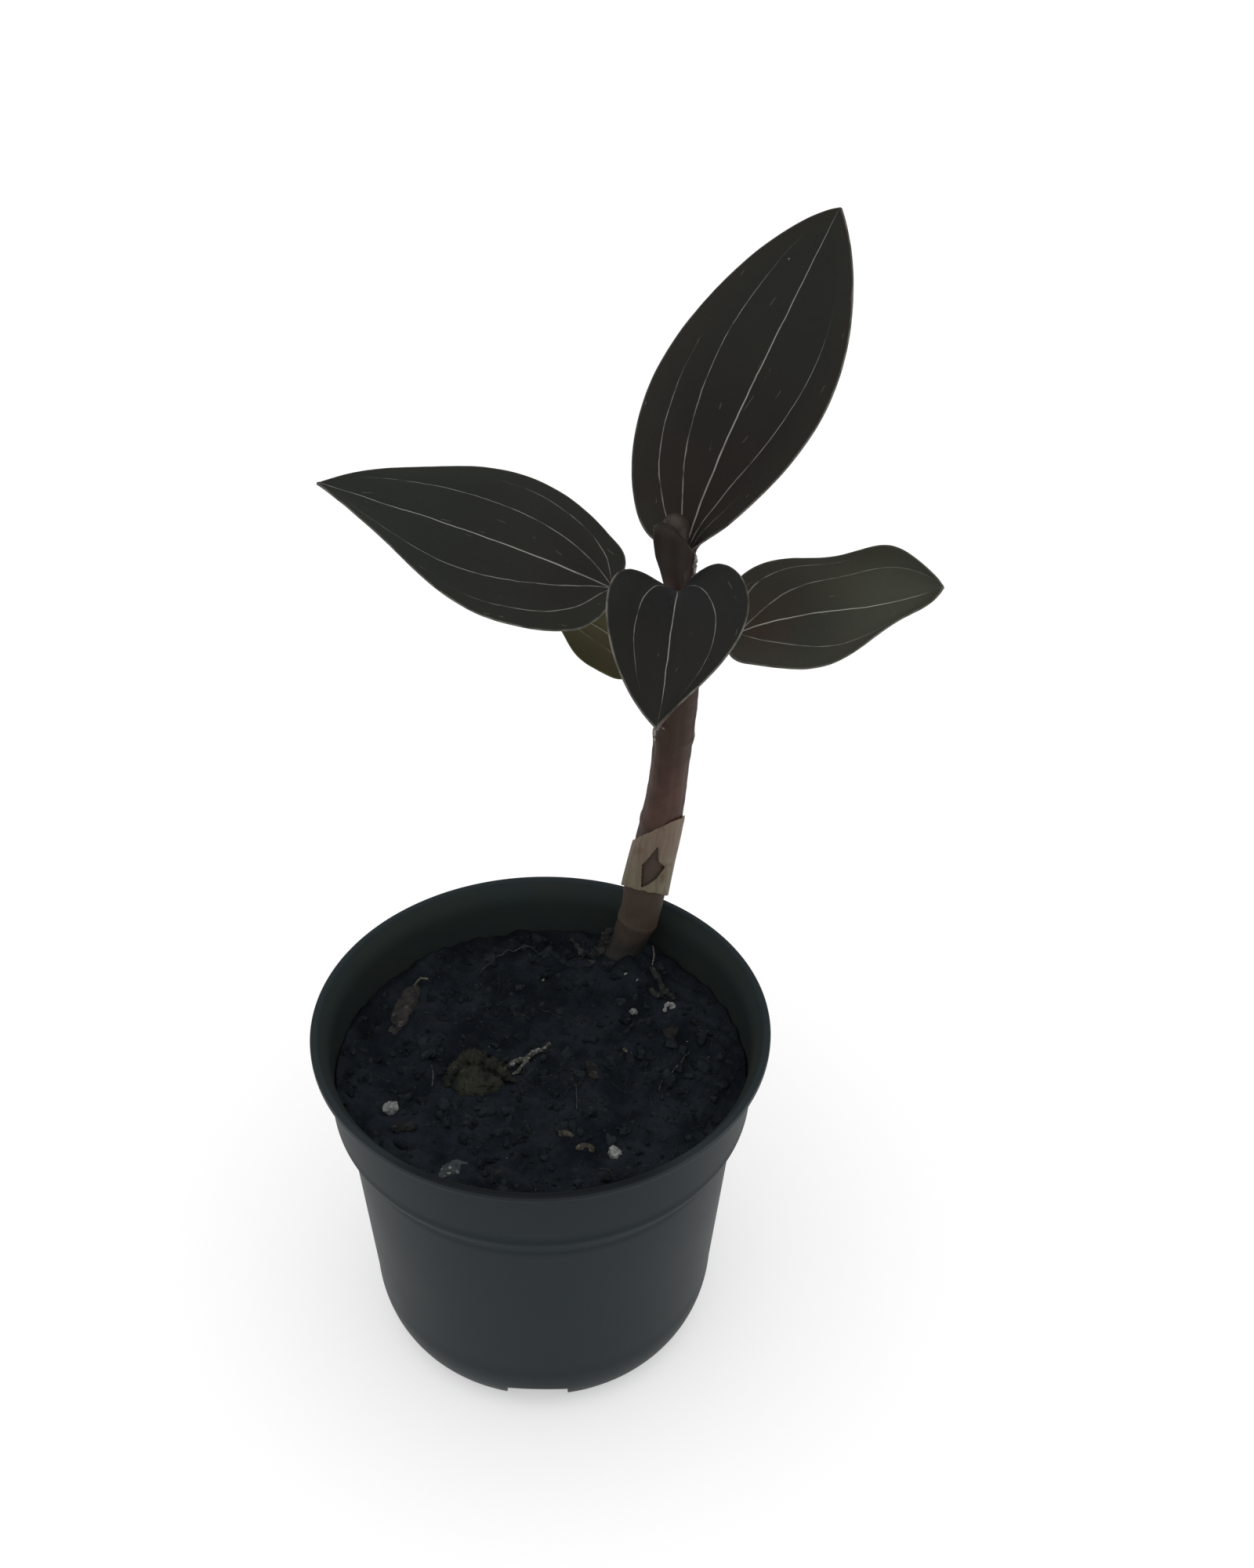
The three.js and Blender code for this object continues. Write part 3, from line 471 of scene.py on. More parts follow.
def rootTube(station, heading, reach, dip, thick):
    # a root swings from side to side as it goes out and down, and thins to half
    x, y, z = stemLine[int(station * stemSizes["stationSteps"]), :3]
    t = np.linspace(0, 1, 28)
    bearing = np.radians(heading + 38 * np.sin(3 * t))
    path = np.stack([x + reach * t * np.cos(bearing), y + reach * t * np.sin(bearing),
                     z - dip * t ** 1.4, mix(thick, 0.53 * thick, t) * np.sqrt(1.02 - t ** 6)], -1)
    tube = tubePoints(path, 14)
    return tube + 0.12 * lumps(tube, 1.6, heading)[..., None]


def buildStem():
    sides = stemSizes["sides"]
    rings = tubePoints(stemLine, sides)
    outward = rings - rings.mean(axis=1, keepdims=True)
    length = np.linalg.norm(outward, axis=2, keepdims=True)
    turn = fullTurn(sides)
    ridges = 0.05 * np.sin(9 * turn + 0.8 * np.sin(rings[:, :1, 2] / 11)) + 0.03 * np.sin(17 * turn)
    buried = ramp(84, 76, rings[..., 2])
    rough = 0.12 * lumps(rings, 3.2, 2) + ridges + buried * 0.45 * lumps(rings, 2.2, 5)
    atEnds = ramp(0.2, 2.0, length[..., 0])
    rings = rings + outward / np.maximum(length, 0.2) * (rough * atEnds)[..., None]
    points, faces = joinTubes([rings] + [rootTube(*root) for root in stemSizes["roots"]])
    return settle(addMesh("stem_fleshy", points, faces, [stemSkin]), "stem", "stem")


sheath = {
    # mean height of each torn edge, its slant, and the heading of its highest side
    "foot": [99.1, 4.6, -110], "top": [118.4, 6.0, -52],
    "radii": [5.6, 5.05], "thickness": 0.28, "foldHeading": 285, "rows": 80, "sides": 200,
    # a hole with a pointed top lays the stem bare at the front: corners across and up from its middle
    "tearHeight": 110.6,
    "tear": [[1.2, 6.7], [-2.5, 0.6], [-2.5, -6.2], [0.9, -3.6], [3.1, -0.2], [1.3, 2.2]],
}


def insideOutline(corners, across, up):
    # true where a point lies inside the closed outline: a ray from it crosses an odd number of sides
    inside = np.zeros(across.shape, bool)
    for (x0, y0), (x1, y1) in zip(corners, np.roll(corners, -1, axis=0)):
        crosses = (y0 > up) != (y1 > up)
        inside ^= crosses & (across < (x1 - x0) * (up - y0) / (y1 - y0 + 1e-9) + x0)
    return inside


def buildSheath():
    sides, rows = sheath["sides"], sheath["rows"]
    turn = fullTurn(sides)
    circle = np.stack([4 * np.cos(turn), 4 * np.sin(turn), 0 * turn], -1)
    edges = []
    for (height, slant, highest), grain, seed in ((sheath["foot"], 1.4, 3), (sheath["top"], 1.2, 4)):
        ragged = 0.35 * lumps(circle, grain, seed)
        edges.append(height + slant * np.cos(turn - math.radians(highest)) + ragged)
    t = np.linspace(0, 1, rows)[:, None]
    z = mix(edges[0][None, :], edges[1][None, :], t)
    x, y, radius = stemAt(z)
    puff = 0.1 * np.sin(math.pi * t) * (1 + np.sin(3 * turn + 3 * t))
    inner = np.maximum(mix(*sheath["radii"], t) + puff, radius + 0.15)
    # one soft fold runs up the front, and the paper is faintly ribbed
    crease = 0.22 * np.exp(-((turn - math.radians(sheath["foldHeading"]) + 0.25 * t) / 0.09) ** 2)
    wrinkle = 0.025 * np.sin(23 * turn + 2 * t) + 0.02 * np.sin(41 * turn) - crease
    layers = []
    for offset in (0.0, sheath["thickness"]):
        r = inner + wrinkle + offset
        layers.append(np.stack([x + r * np.cos(turn), y + r * np.sin(turn), z], -1))
    centreX, centreY, _ = stemAt(sheath["tearHeight"])
    corners = np.array(sheath["tear"])
    torn = insideOutline(corners, layers[1][..., 0] - centreX, z - sheath["tearHeight"])
    corner = (torn & (layers[1][..., 1] < centreY)).astype(int)
    beside = np.roll(corner, -1, axis=1)
    isOpen = (corner[:-1] + beside[:-1] + corner[1:] + beside[1:] >= 2).ravel()
    count = rows * sides
    outerFaces = gridFaces(rows, sides, count, closed=True)[~isOpen]
    innerFaces = gridFaces(rows, sides, 0, closed=True, flip=True)[~isOpen]
    # every free edge of the outer layer gets a face across the paper's thickness
    directed = dict.fromkeys((a, b) for face in outerFaces for a, b in zip(face, np.roll(face, -1)))
    rims = [[b, a, a - count, b - count] for a, b in directed if (b, a) not in directed]
    faces = outerFaces.tolist() + innerFaces.tolist() + rims
    points = np.vstack([layers[0].reshape(-1, 3), layers[1].reshape(-1, 3)])
    return settle(addMesh("sheath_papery", points, faces, [drySheath]), "dry_sheath", "sheath_lower")


shootTip = {"base": 189, "height": 13, "radius": [1.9, 2.9], "dome": 3.0, "shift": [-0.9, 0.5],
            "lean": [-0.2, 2.1], "rows": 60, "sides": 72, "dark": "#322a25", "light": "#433830"}


def makeYoungSkin():
    # Young skin is paler and waxier than the blades, so the tip reads as a separate bud
    material, tree, spot = newMaterial("rolled young leaf, waxy olive-brown")
    patches = addNode(tree, "TexNoise", {"Vector": spot, "Scale": perMetre(3), "Detail": 4.0})
    colour = layColours(tree, shootTip["dark"], [(patches, shootTip["light"])])
    upright = addNode(tree, "Mapping", {"Vector": spot, "Scale": (1.0, 1.0, 0.12)})
    lines = addNode(tree, "TexNoise", {"Vector": upright, "Scale": perMetre(0.9)})
    finishMaterial(tree, lines, 0.2, 0.3, {
        "Base Color": colour, "Roughness": 0.45, "Specular IOR Level": 0.3,
        "Subsurface Weight": 0.2, "Subsurface Radius": (1.5, 0.7, 0.5), "Subsurface Scale": mm})
    return material


def buildShootTip():
    # the next leaf, still rolled: a blunt bud whose outer edge winds up it as a low step
    sides, rows = shootTip["sides"], shootTip["rows"]
    x, y, _ = stemAt(shootTip["base"])
    t = 1 - (1 - np.linspace(0, 1, rows)[:, None]) ** 1.8
    turn = fullTurn(sides)[None, :]
    fromTop = shootTip["height"] * (1 - t)
    dome = np.sqrt(np.clip(1 - (1 - np.minimum(1, fromTop / shootTip["dome"])) ** 2, 0.0004, 1))
    radius = mix(*shootTip["radius"], ramp(0, 0.6, t)) * dome
    winding = (turn / (2 * math.pi) + 0.5 * t + 0.1) % 1.0
    radius = radius * (1 + 0.07 * (winding - 0.5))
    centreX = x + shootTip["shift"][0] + shootTip["lean"][0] * t
    centreY = y + shootTip["shift"][1] + shootTip["lean"][1] * t
    z = shootTip["base"] + shootTip["height"] * t
    points = np.stack([centreX + radius * np.cos(turn), centreY + radius * np.sin(turn), z + 0 * turn], -1)
    piece = addMesh("shoot_tip_rolled", points, tubeFaces(rows, sides), [makeYoungSkin()])
    return settle(piece, "stem", "shoot_tip")


# The top leaf's clasping base laps round the shoot from behind its left side to the right, and its mouth
# closes in on the rolled bud
collar = {
    "axis": [28.7, 33.7],
    "lean": [-1.2, 183.8, 9.6],           # along X, from that height, over that rise
    "from": 118, "to": 368, "free": 350,  # headings of its two edges, and where the second comes loose
    "thickness": 0.4, "mouth": 1.5, "rows": 70, "mouthRows": 24, "columns": 150,
    "heights": [185.2, 187, 190.4, 193.8, 197, 201.5], "radii": [2.75, 2.95, 3.4, 4.05, 4.5, 4.5],
    "lipHeadings": [118, 170, 225, 270, 300, 330, 368],
    "lip": [199.2, 200.4, 201.0, 200.5, 199.0, 196.6, 194.0],
    "dark": "#2c2522", "light": "#352d29", "foot": "#4d3a36", "shadeLiftHeights": [185, 191],
}


def makeCollarSkin():
    # Clasping leaf base: thin brown skin, smoother than the stem, so it reads as one sheet with the leaf
    material, tree, spot = newMaterial("leaf base, thin brown skin")
    patches = addNode(tree, "TexNoise", {"Vector": spot, "Scale": perMetre(5), "Detail": 3.0})
    height = addNode(tree, "SeparateXYZ", [spot]).outputs["Z"]
    # painted light: the collar's foot is a lighter red-brown, lifting the shade that falls at its foot
    low = addNode(tree, "MapRange", [height, *inMetres(collar["shadeLiftHeights"]), 1.0, 0.0], **eased)
    colour = layColours(tree, collar["dark"], [(patches, collar["light"]), (low, collar["foot"])])
    upright = addNode(tree, "Mapping", {"Vector": spot, "Scale": (1.0, 1.0, 0.1)})
    lines = addNode(tree, "TexNoise", {"Vector": upright, "Scale": perMetre(0.9)})
    finishMaterial(tree, lines, 0.08, 0.2, {
        "Base Color": colour, "Roughness": 0.6, "Specular IOR Level": 0.15,
        "Subsurface Weight": 0.15, "Subsurface Radius": (1.5, 0.7, 0.5), "Subsurface Scale": mm})
    return material


def buildCollar():
    c = collar
    rows, mouthRows = c["rows"], c["mouthRows"]
    turn = np.linspace(c["from"], c["to"], c["columns"])[None, :]
    s = np.linspace(0, 1, rows)[:, None]
    z = mix(c["heights"][0], np.interp(turn, c["lipHeadings"], c["lip"]) - 0.7, s)
    radius = np.interp(z, c["heights"], c["radii"])
    inward = np.linspace(0, 1, mouthRows + 1)[1:, None] ** 1.6
    radius = np.vstack([radius, mix(radius[-1:], c["mouth"], inward)])
    z = np.vstack([z, z[-1:] + 1.3 * (1 - (1 - inward) ** 7)])
    for _ in range(3):  # rounds off the joints between the listed heights
        radius[1:-1] = (radius[:-2] + 2 * radius[1:-1] + radius[2:]) / 4
        z[1:-1] = (z[:-2] + 2 * z[1:-1] + z[2:]) / 4
    free = ramp(c["free"], c["to"], turn)
    radius = radius + free * (0.25 + 0.3 * lumps(np.stack([z / 3, turn / 20 + 0 * z, 0 * z], -1), 1, 4))
    around = np.radians(turn)
    lean, leanFrom, leanOver = c["lean"]
    x = c["axis"][0] + lean * np.clip((z - leanFrom) / leanOver, 0, 1)
    inMouth = ramp(rows - 3, rows + 3, np.arange(len(z))[:, None])
    layers = []
    for inset in (c["thickness"], 0):
        r = radius - inset * (1 - inMouth)
        y = c["axis"][1] + r * np.sin(around)
        layers.append(np.stack([x + r * np.cos(around), y, z - inset * inMouth], -1))
    points, inside, outside, rim = sheetShell(*layers)
    piece = addMesh("leaf_top_collar", points, outside + inside + rim, [makeCollarSkin()])
    return settle(piece, "leaf_dark")


# Shreds of old sheath still sticking to the stem: x, y, z, half width along each
shreds = [
    [[31.8, 32.9, 194.6, 0.15], [32.1, 32.7, 193.4, 0.4], [31.9, 32.7, 191.8, 0.45],
     [31.8, 32.8, 190.0, 0.4], [31.5, 32.9, 188.4, 0.35], [31.0, 33.0, 187.0, 0.15]],
    [[23.1, 33.4, 200.8, 0.08], [23.2, 33.0, 199.6, 0.14], [23.5, 32.8, 198.0, 0.1]],
    [[25.3, 31.2, 152.0, 0.12], [24.7, 31.3, 150.8, 0.3], [24.3, 31.5, 149.0, 0.25],
     [24.6, 31.4, 146.8, 0.12]],
    [[26.6, 30.3, 151.0, 0.1], [25.8, 30.5, 151.8, 0.2], [25.0, 30.9, 151.6, 0.12]],
]


def makeShredSkin():
    # Shreds of old skin: bleached and ragged, pale against the brown they hang from
    material, tree, spot = newMaterial("skin shreds, bleached and ragged")
    stains = addNode(tree, "TexNoise", {"Vector": spot, "Scale": perMetre(1.2), "Detail": 4.0})
    share = addNode(tree, "MapRange", [stains, 0.4, 0.6])
    colour = layColours(tree, "#4b4540", [(share, "#a9a59b")])
    finishMaterial(tree, stains, 0.5, 0.3, {
        "Base Color": colour, "Roughness": 0.8, "Specular IOR Level": 0.15})
    return material


def buildShreds():
    paths = [alongStations(shred, 12) for shred in shreds]
    tubes = [roughTube(path, 10, 0.9, 0.6, number) for number, path in enumerate(paths)]
    return settle(addMesh("sheath_shreds", *joinTubes(tubes), [makeShredSkin()]), "dry_sheath")


buildStem()
buildSheath()
buildShootTip()
buildCollar()
buildShreds()
print("stem, sheath and shoot tip built")


# Leaves: each clasps the stem at a node, runs along a channelled stalk and opens into its blade

# Heading (from +X towards +Y), roll, cup and fold are degrees at the blade's base and tip, and rise (from
# the horizontal) at its base, middle and tip. Widths, swells and phases are for the left and right half, and
# a swell says how slowly the outline opens at the base and closes at the tip. A wave is its height and number.
# Inner and outer are the side veins' lanes across each half, and reach is how far along it each one shows.
leaves = {
    "leaf_top": {
        "node": 183.8, "heading": [61.0, 31.7], "rise": [52.0, 53.3, 61.2], "roll": [-2.7, 9.1],
        "stalk": {"length": 9.6, "rise": 84, "wrap": [125, 95], "tube": 3.9, "straight": 0.5, "closed": 0.8,
                  "lean": [-1.2, 0], "clearance": 0.35},
        "blade": 77.4, "halfWidth": [21.1, 21.7], "swell": [[0.7, 0.81], [1.06, 0.87]], "lobe": 6.4,
        "cup": [30.4, 15.7], "fold": [0.6, 0], "wave": [1.2, 1.13], "phase": [-0.6, 1.83],
        "inner": [[0.28, 0.51, 0.57], [0.30, 0.59, 0.62]], "outer": [[0.66, 0.76, 0.80], [0.66, 0.79, 0.84]],
        "reach": [[0.93, 0.80], [0.6, 0.24]], "grid": [60, 130, 97],
    },
    "leaf_left": {
        "node": 174, "heading": [173.5, 181.1], "rise": [24.6, 19.0, 19.0], "roll": [-14.7, -5.7],
        "stalk": {"length": 14.7, "rise": 61, "wrap": [80, 55], "tube": 2.1},
        "blade": 66.0, "halfWidth": [22.2, 22.3], "swell": [[0.73, 1.04], [0.65, 1.0]], "lobe": 5.8,
        "cup": [-6.5, 11.2], "fold": [-1.6, 2.7], "wave": [1.2, 1.42], "phase": [0.44, 4.62],
        "inner": [[0.20, 0.55, 0.74], [0.45, 0.54, 0.80]], "outer": [[0.68, 0.85, 0.92], [0.80, 0.84, 0.92]],
        "reach": [[0.97, 0.95], [0.55, 0.5]],
    },
    "leaf_front": {
        "node": 179.5, "heading": [-93.0, -96.6], "rise": [49.6, -4.0, -14.4], "roll": [5.6, -5.8],
        "stalk": {"length": 12.0, "rise": 61, "wrap": [80, 55], "tube": 2.1},
        "blade": 54.8, "halfWidth": [17.2, 14.4], "swell": [[1.28, 1.38], [1.02, 0.9]], "lobe": 0,
        "cup": [41.4, 31.1], "fold": [20.8, 1.9], "wave": [2.2, 0.88], "phase": [2.1, -1.74],
        "inner": [[0.22, 0.54, 0.66], [0.45, 0.51, 0.60]], "outer": [[0.7, 0.86, 0.92], [0.7, 0.86, 0.92]],
        "reach": [[0.95, 0.9], [0, 0]],
    },
    "leaf_right": {
        "node": 166, "heading": [9.1, 3.1], "rise": [25.6, 5.5, 29.8], "roll": [9.9, 14.0],
        "stalk": {"length": 10.4, "rise": 55, "wrap": [80, 55], "tube": 2.1},
        "blade": 45.8, "halfWidth": [16.5, 17.5], "swell": [[0.68, 0.63], [0.62, 0.82]], "lobe": 8.3,
        "cup": [12.6, 26.2], "fold": [-2.1, 12.7], "wave": [3.2, 1.38], "phase": [-0.06, 1.33],
        "inner": [[0.28, 0.58, 0.62], [0.42, 0.70, 1.02]], "outer": [[0.77, 0.86, 0.90], [0.75, 0.90, 0.95]],
        "reach": [[1.15, 0.9], [0.68, 0]],
    },
    "leaf_back": {
        "node": 151, "heading": [124.3, 170.7], "rise": [24.0, 14.0, 0.0], "roll": [0.0, 0.0],
        "stalk": {"length": 9.0, "rise": 50, "wrap": [80, 55], "tube": 2.1},
        "blade": 29.1, "halfWidth": [12.4, 12.0], "swell": [[0.64, 0.8], [0.63, 0.8]], "lobe": 3.0,
        "cup": [10.1, 15.0], "fold": [-5.4, 5.0], "wave": [0.8, 1.3], "phase": [0.5, 2.0],
        "inner": [[0.35, 0.36, 0.50], [0.40, 0.50, 0.60]], "outer": [[0.72, 0.78, 0.84], [0.72, 0.78, 0.84]],
        "reach": [[0.95, 0.95], [0, 0]], "grid": [36, 90, 73],
    },
}
bladeSizes = {
    "grid": [36, 130, 97],  # rows along the stalk and the blade, and columns across
    "thickness": 0.62, "marginThickness": 0.3, "quilting": 0.18, "tip": 0.15,
    "gap": 0.65,            # from the stem's skin to the stalk's middle surface
}


def shareAfter(start, k):
    return np.clip((k - start) / (1 - start), 0, 1)


def leafAxes(leaf, run):
    length = leaf["stalk"]["length"]
    t = np.clip((run - length) / leaf["blade"], 0, 1)
    k = smooth(shareAfter(leaf["stalk"].get("straight", 0), run / length))
    stalkRise = mix(leaf["stalk"]["rise"], leaf["rise"][0], k)
    rise = np.where(run < length, stalkRise, throughThree(leaf["rise"], t))
    rise, heading = np.radians(rise), np.radians(mix(*leaf["heading"], t))
    roll = np.radians(mix(*leaf["roll"], t) * k)[:, None]
    forward = np.stack([np.cos(rise) * np.cos(heading), np.cos(rise) * np.sin(heading), np.sin(rise)], -1)
    level = np.stack([-np.sin(heading), np.cos(heading), 0 * heading], -1)
    over = np.cross(forward, level)
    left = level * np.cos(roll) + over * np.sin(roll)
    up = over * np.cos(roll) - level * np.sin(roll)
    return forward, left, up


def midribLine(leaf, runs):
    # the point of the stalk or midrib at each of those distances from the node
    length, step = leaf["stalk"]["length"], 0.1
    x, y, stemRadius = stemAt(leaf["node"])
    face = math.radians(leaf["heading"][0])
    out = stemRadius + bladeSizes["gap"]
    fine = np.arange(0, length + leaf["blade"] + step, step)
    steps = leafAxes(leaf, fine[:-1] + step / 2)[0] * step
    line = np.vstack([[0, 0, 0], np.cumsum(steps, axis=0)])
    line += [x + out * math.cos(face), y + out * math.sin(face), leaf["node"]]
    line[:, :2] += np.outer(np.clip(fine / length, 0, 1), leaf["stalk"].get("lean", [0, 0]))
    return np.stack([np.interp(runs, fine, line[:, k]) for k in range(3)], -1)


def bladeFullness(leaf, t):
    # how full the left and the right half are along the blade, from 0 to 1 at the widest place
    full = []
    for atBase, atTip in leaf["swell"]:
        widest = atBase / (atBase + atTip)
        full.append(t ** atBase * (1 - t) ** atTip / (widest ** atBase * (1 - widest) ** atTip))
    return full


def veinLanes(leaf, beyond, t, side, isLeft):
    # where the inner and outer side vein run, as a share of the half's width, and how far each vein shows
    gather = 1 - 0.55 * np.exp(-np.maximum(0, beyond)[:, None] / 0.07)
    lanes, shows = [], [mix(0.6, 1.0, ramp(0.0, 0.2, t)) * mix(1.0, 0.6, ramp(0.75, 1.0, t)) + 0 * side]
    for pair, ends in zip((leaf["inner"], leaf["outer"]), leaf["reach"]):
        lane = np.where(isLeft, throughThree(pair[0], t), throughThree(pair[1], t)) * gather
        lanes.append(np.clip(lane, 0.05, 0.97))
        end = np.where(isLeft, *ends)
        shows.append(ramp(end + 1e-6, end - 0.3, t + 0 * side))
    return lanes, shows


def leafSurface(leaf, runs, u):
    # the middle surface: a point for every run along the midrib and u across, -1 right to 1 left
    stalk, length = leaf["stalk"], leaf["stalk"]["length"]
    stemRadius = stemAt(leaf["node"])[2]
    forward, left, up = leafAxes(leaf, runs)
    beyond = (runs - length) / leaf["blade"]
    t = np.clip(beyond, 0, 1)[:, None]
    k = np.clip(runs / length, 0, 1)[:, None]
    side, isLeft = np.abs(u)[None, :], (u > 0)[None, :]
    full = bladeFullness(leaf, t)
    half = [width * share for width, share in zip(leaf["halfWidth"], full)]
    tubeRadius = mix(stemRadius + stalk.get("clearance", 0.75), stalk["tube"], k)
    clasp = (1 - shareAfter(stalk.get("closed", 0), k)) ** 1.5
    stalkCup = np.radians(mix(stalk["wrap"][1], stalk["wrap"][0], clasp))
    width = np.hypot(np.where(isLeft, half[0], half[1]), tubeRadius * stalkCup * (1 - t) ** 3)
    width = np.maximum(bladeSizes["tip"], width)
    opening = np.where(runs[:, None] < length, 1.0, np.clip(1 - t / 0.15, 0, 1) ** 2)
    bend = mix(np.radians(mix(*leaf["cup"], t)), stalkCup, opening)
    bend = np.where(np.abs(bend) < 1e-3, 1e-3, bend)
    fold = np.radians(mix(*leaf["fold"], t) * k)
    across = width * np.sin(bend * side) / bend
    lift = width * (1 - np.cos(bend * side)) / bend
    fade = np.sin(math.pi * t)
    phase = np.where(isLeft, leaf["phase"][0], leaf["phase"][1])
    swing = 2 * math.pi * leaf["wave"][1] * t + phase
    ripple = leaf["wave"][0] * side ** 2 * np.abs(fade) ** 0.7 * np.sin(swing)

    # the veins lie in grooves, and the blade swells a little between them
    lanes, shows = veinLanes(leaf, beyond, t, side, isLeft)
    lateral = np.maximum(0.8 * shows[1] * np.exp(-((side - lanes[0]) / 0.06) ** 2),
                         0.5 * shows[2] * np.exp(-((side - lanes[1]) / 0.05) ** 2))
    groove = np.maximum(lateral, np.exp(-(side / 0.07) ** 2))
    quilt = bladeSizes["quilting"] * np.sqrt(np.abs(fade)) * (groove + 0.25)
    shiftLeft = np.sign(u)[None, :] * (across * np.cos(fold) - lift * np.sin(fold))
    shiftUp = across * np.sin(fold) + lift * np.cos(fold) + ripple - quilt
    # beside the stalk the base of the blade reaches back in two lobes
    lobes = np.minimum(1, np.where(isLeft, *full))
    along = -2 * leaf["lobe"] * side ** 2 * (1 - t) ** 3 * k ** 2 * lobes
    points = (midribLine(leaf, runs)[:, None] + left[:, None] * shiftLeft[..., None]
              + up[:, None] * shiftUp[..., None] + forward[:, None] * along[..., None])
    veinAt = np.stack([width * u[None, :], width * (side - lanes[0]), width * (side - lanes[1])], -1)
    bladePlace = np.broadcast_to(beyond[:, None], width.shape)
    bladeAt = np.stack([width * (1 - side), bladePlace, np.broadcast_to(u[None, :], width.shape)], -1)
    return points, {"veinAt": veinAt, "veinShow": np.stack(shows, -1), "bladeAt": bladeAt}


def buildLeaf(name, leaf, skin, slot):
    length = leaf["stalk"]["length"]
    stalkRows, bladeRows, columns = leaf.get("grid", bladeSizes["grid"])
    runs = np.concatenate([np.linspace(0, length, stalkRows, endpoint=False),
                           length + leaf["blade"] * np.linspace(0, 1, bladeRows) ** 1.1])
    u = np.linspace(-1, 1, columns)
    middle, guides = leafSurface(leaf, runs, u)
    middle = middle + (0.12 * lumps(middle, 9, leaf["node"]))[..., None] * leafAxes(leaf, runs)[2][:, None]
    normals = np.cross(np.gradient(middle, axis=0), np.gradient(middle, axis=1))
    normals /= np.maximum(np.linalg.norm(normals, axis=2, keepdims=True), 1e-9)
    thick = mix(bladeSizes["thickness"], bladeSizes["marginThickness"], np.abs(u) ** 8)[None, :, None]
    points, upper, lower, rim = sheetShell(middle + normals * thick / 2, middle - normals * thick / 2)
    which = [0] * len(upper) + [1] * len(lower) + [0] * len(rim)
    piece = addMesh(name + "_blade", points, upper + lower + rim, [skin, leafUnderside], which)
    for guide, values in guides.items():
        addVectors(piece, guide, np.vstack([values.reshape(-1, 3)] * 2))
    return settle(piece, slot, name)


# The velvet's name, then base, skin, second tone, margin and tip of each blade, and its own rim or midrib
skins = {
    "leaf_top": ["brown-black velvet", "#2b2521", "#292622", "#272523", "#2e2c27", "#2a2b27"],
    "leaf_left": ["green-black velvet", "#2a2724", "#2b2b27", "#292a26", "#2e302a", "#2a2d28"],
    "leaf_front": ["slate-black velvet", "#252627", "#262726", "#242525", "#282825", "#292723"],
    # the olive velvet's tip is a paler olive, partly its own colour and partly painted light that lifts the
    # shade on it
    "leaf_right": ["olive velvet", "#41362f", "#3c382f", "#373933", "#3f3f37", "#4b4d42", "#7b7871",
                   "#bab8ae"],
    "leaf_back": ["old olive velvet", "#5a4a3c", "#59513b", "#545437", "#4f4f32", "#555438", "#706a50"],
}
for leafName, leafShape in leaves.items():
    leafTone, *leafColours = skins[leafName]
    leafSlot = "leaf_olive" if leafName in ("leaf_right", "leaf_back") else "leaf_dark"
    buildLeaf(leafName, leafShape, makeLeafSkin("leaf upper skin, " + leafTone, *leafColours), leafSlot)
print("leaves built")


# Pot

potSizes = {
    "height": 90, "lipRadius": 52.5, "lipHeight": 2.6, "collarRadius": 49.2, "collarFootRadius": 48.6,
    "collarFoot": 67.6, "bodyTopRadius": 45.6, "bodyFootRadius": 41.5, "footHeight": 16.6, "footReach": 9.4,
    "wall": 0.9, "floor": 1.2, "segments": 256,
    "drain": {"headings": [-90, 30, 150], "width": 14.6, "height": 9.1, "inner": 31.5, "outer": 40.5},
}


def rounded(corners, reach, steps=9):
    # an outline with every inner corner turned on a small radius, or on its own where it gives one
    outline = [corners[0][:2]]
    for before, corner, after in zip(corners, corners[1:], corners[2:]):
        a, b, c = (np.array(p[:2], float) for p in (before, corner, after))
        wanted = corner[2] if len(corner) > 2 else reach
        size = min(wanted, np.linalg.norm(a - b) * 0.45, np.linalg.norm(c - b) * 0.45)
        p = b + (a - b) / np.linalg.norm(a - b) * size
        q = b + (c - b) / np.linalg.norm(c - b) * size
        for t in np.linspace(0, 1, steps):
            outline.append(list((1 - t) ** 2 * p + 2 * t * (1 - t) * b + t ** 2 * q))
    return outline + [corners[-1][:2]]


def footArc(centre, reach, height, top, steps=18):
    turns = np.linspace(0, math.pi / 2, steps)
    return [[centre + reach * math.sin(a), top - height * math.cos(a)] for a in turns]


def cutDrainSlots(pot):
    # three wedges open the corner between wall and floor
    d = potSizes["drain"]
    profile = [[d["inner"], -1], [d["inner"], 0], [d["outer"], d["height"]], [60, d["height"]], [60, -1]]
    points, faces = [], []
    for heading in np.radians(d["headings"]):
        start = len(points)
        for side in (-0.5, 0.5):
            for r, z in profile:
                across = side * d["width"]
                points.append([r * math.cos(heading) - across * math.sin(heading),
                               r * math.sin(heading) + across * math.cos(heading), z])
        faces += [[start + i for i in range(5)], [start + 9 - i for i in range(5)]]
        for i in range(5):
            j = (i + 1) % 5
            faces.append([start + i, start + 5 + i, start + 5 + j, start + j])
    wedges = addMesh("drain_wedges", points, faces, [])
    form = bmesh.new()
    form.from_mesh(wedges.data)
    bmesh.ops.recalc_face_normals(form, faces=form.faces)
    form.to_mesh(wedges.data)
    form.free()
    cut = pot.modifiers.new("slots", "BOOLEAN")
    cut.operation, cut.solver, cut.object = "DIFFERENCE", "EXACT", wedges
    whole = pot.data
    pot.data = bpy.data.meshes.new_from_object(pot.evaluated_get(bpy.context.evaluated_depsgraph_get()))
    pot.modifiers.clear()
    bpy.data.objects.remove(wedges)
    bpy.data.meshes.remove(whole)
    pot.data.set_sharp_from_angle(angle=math.radians(34))


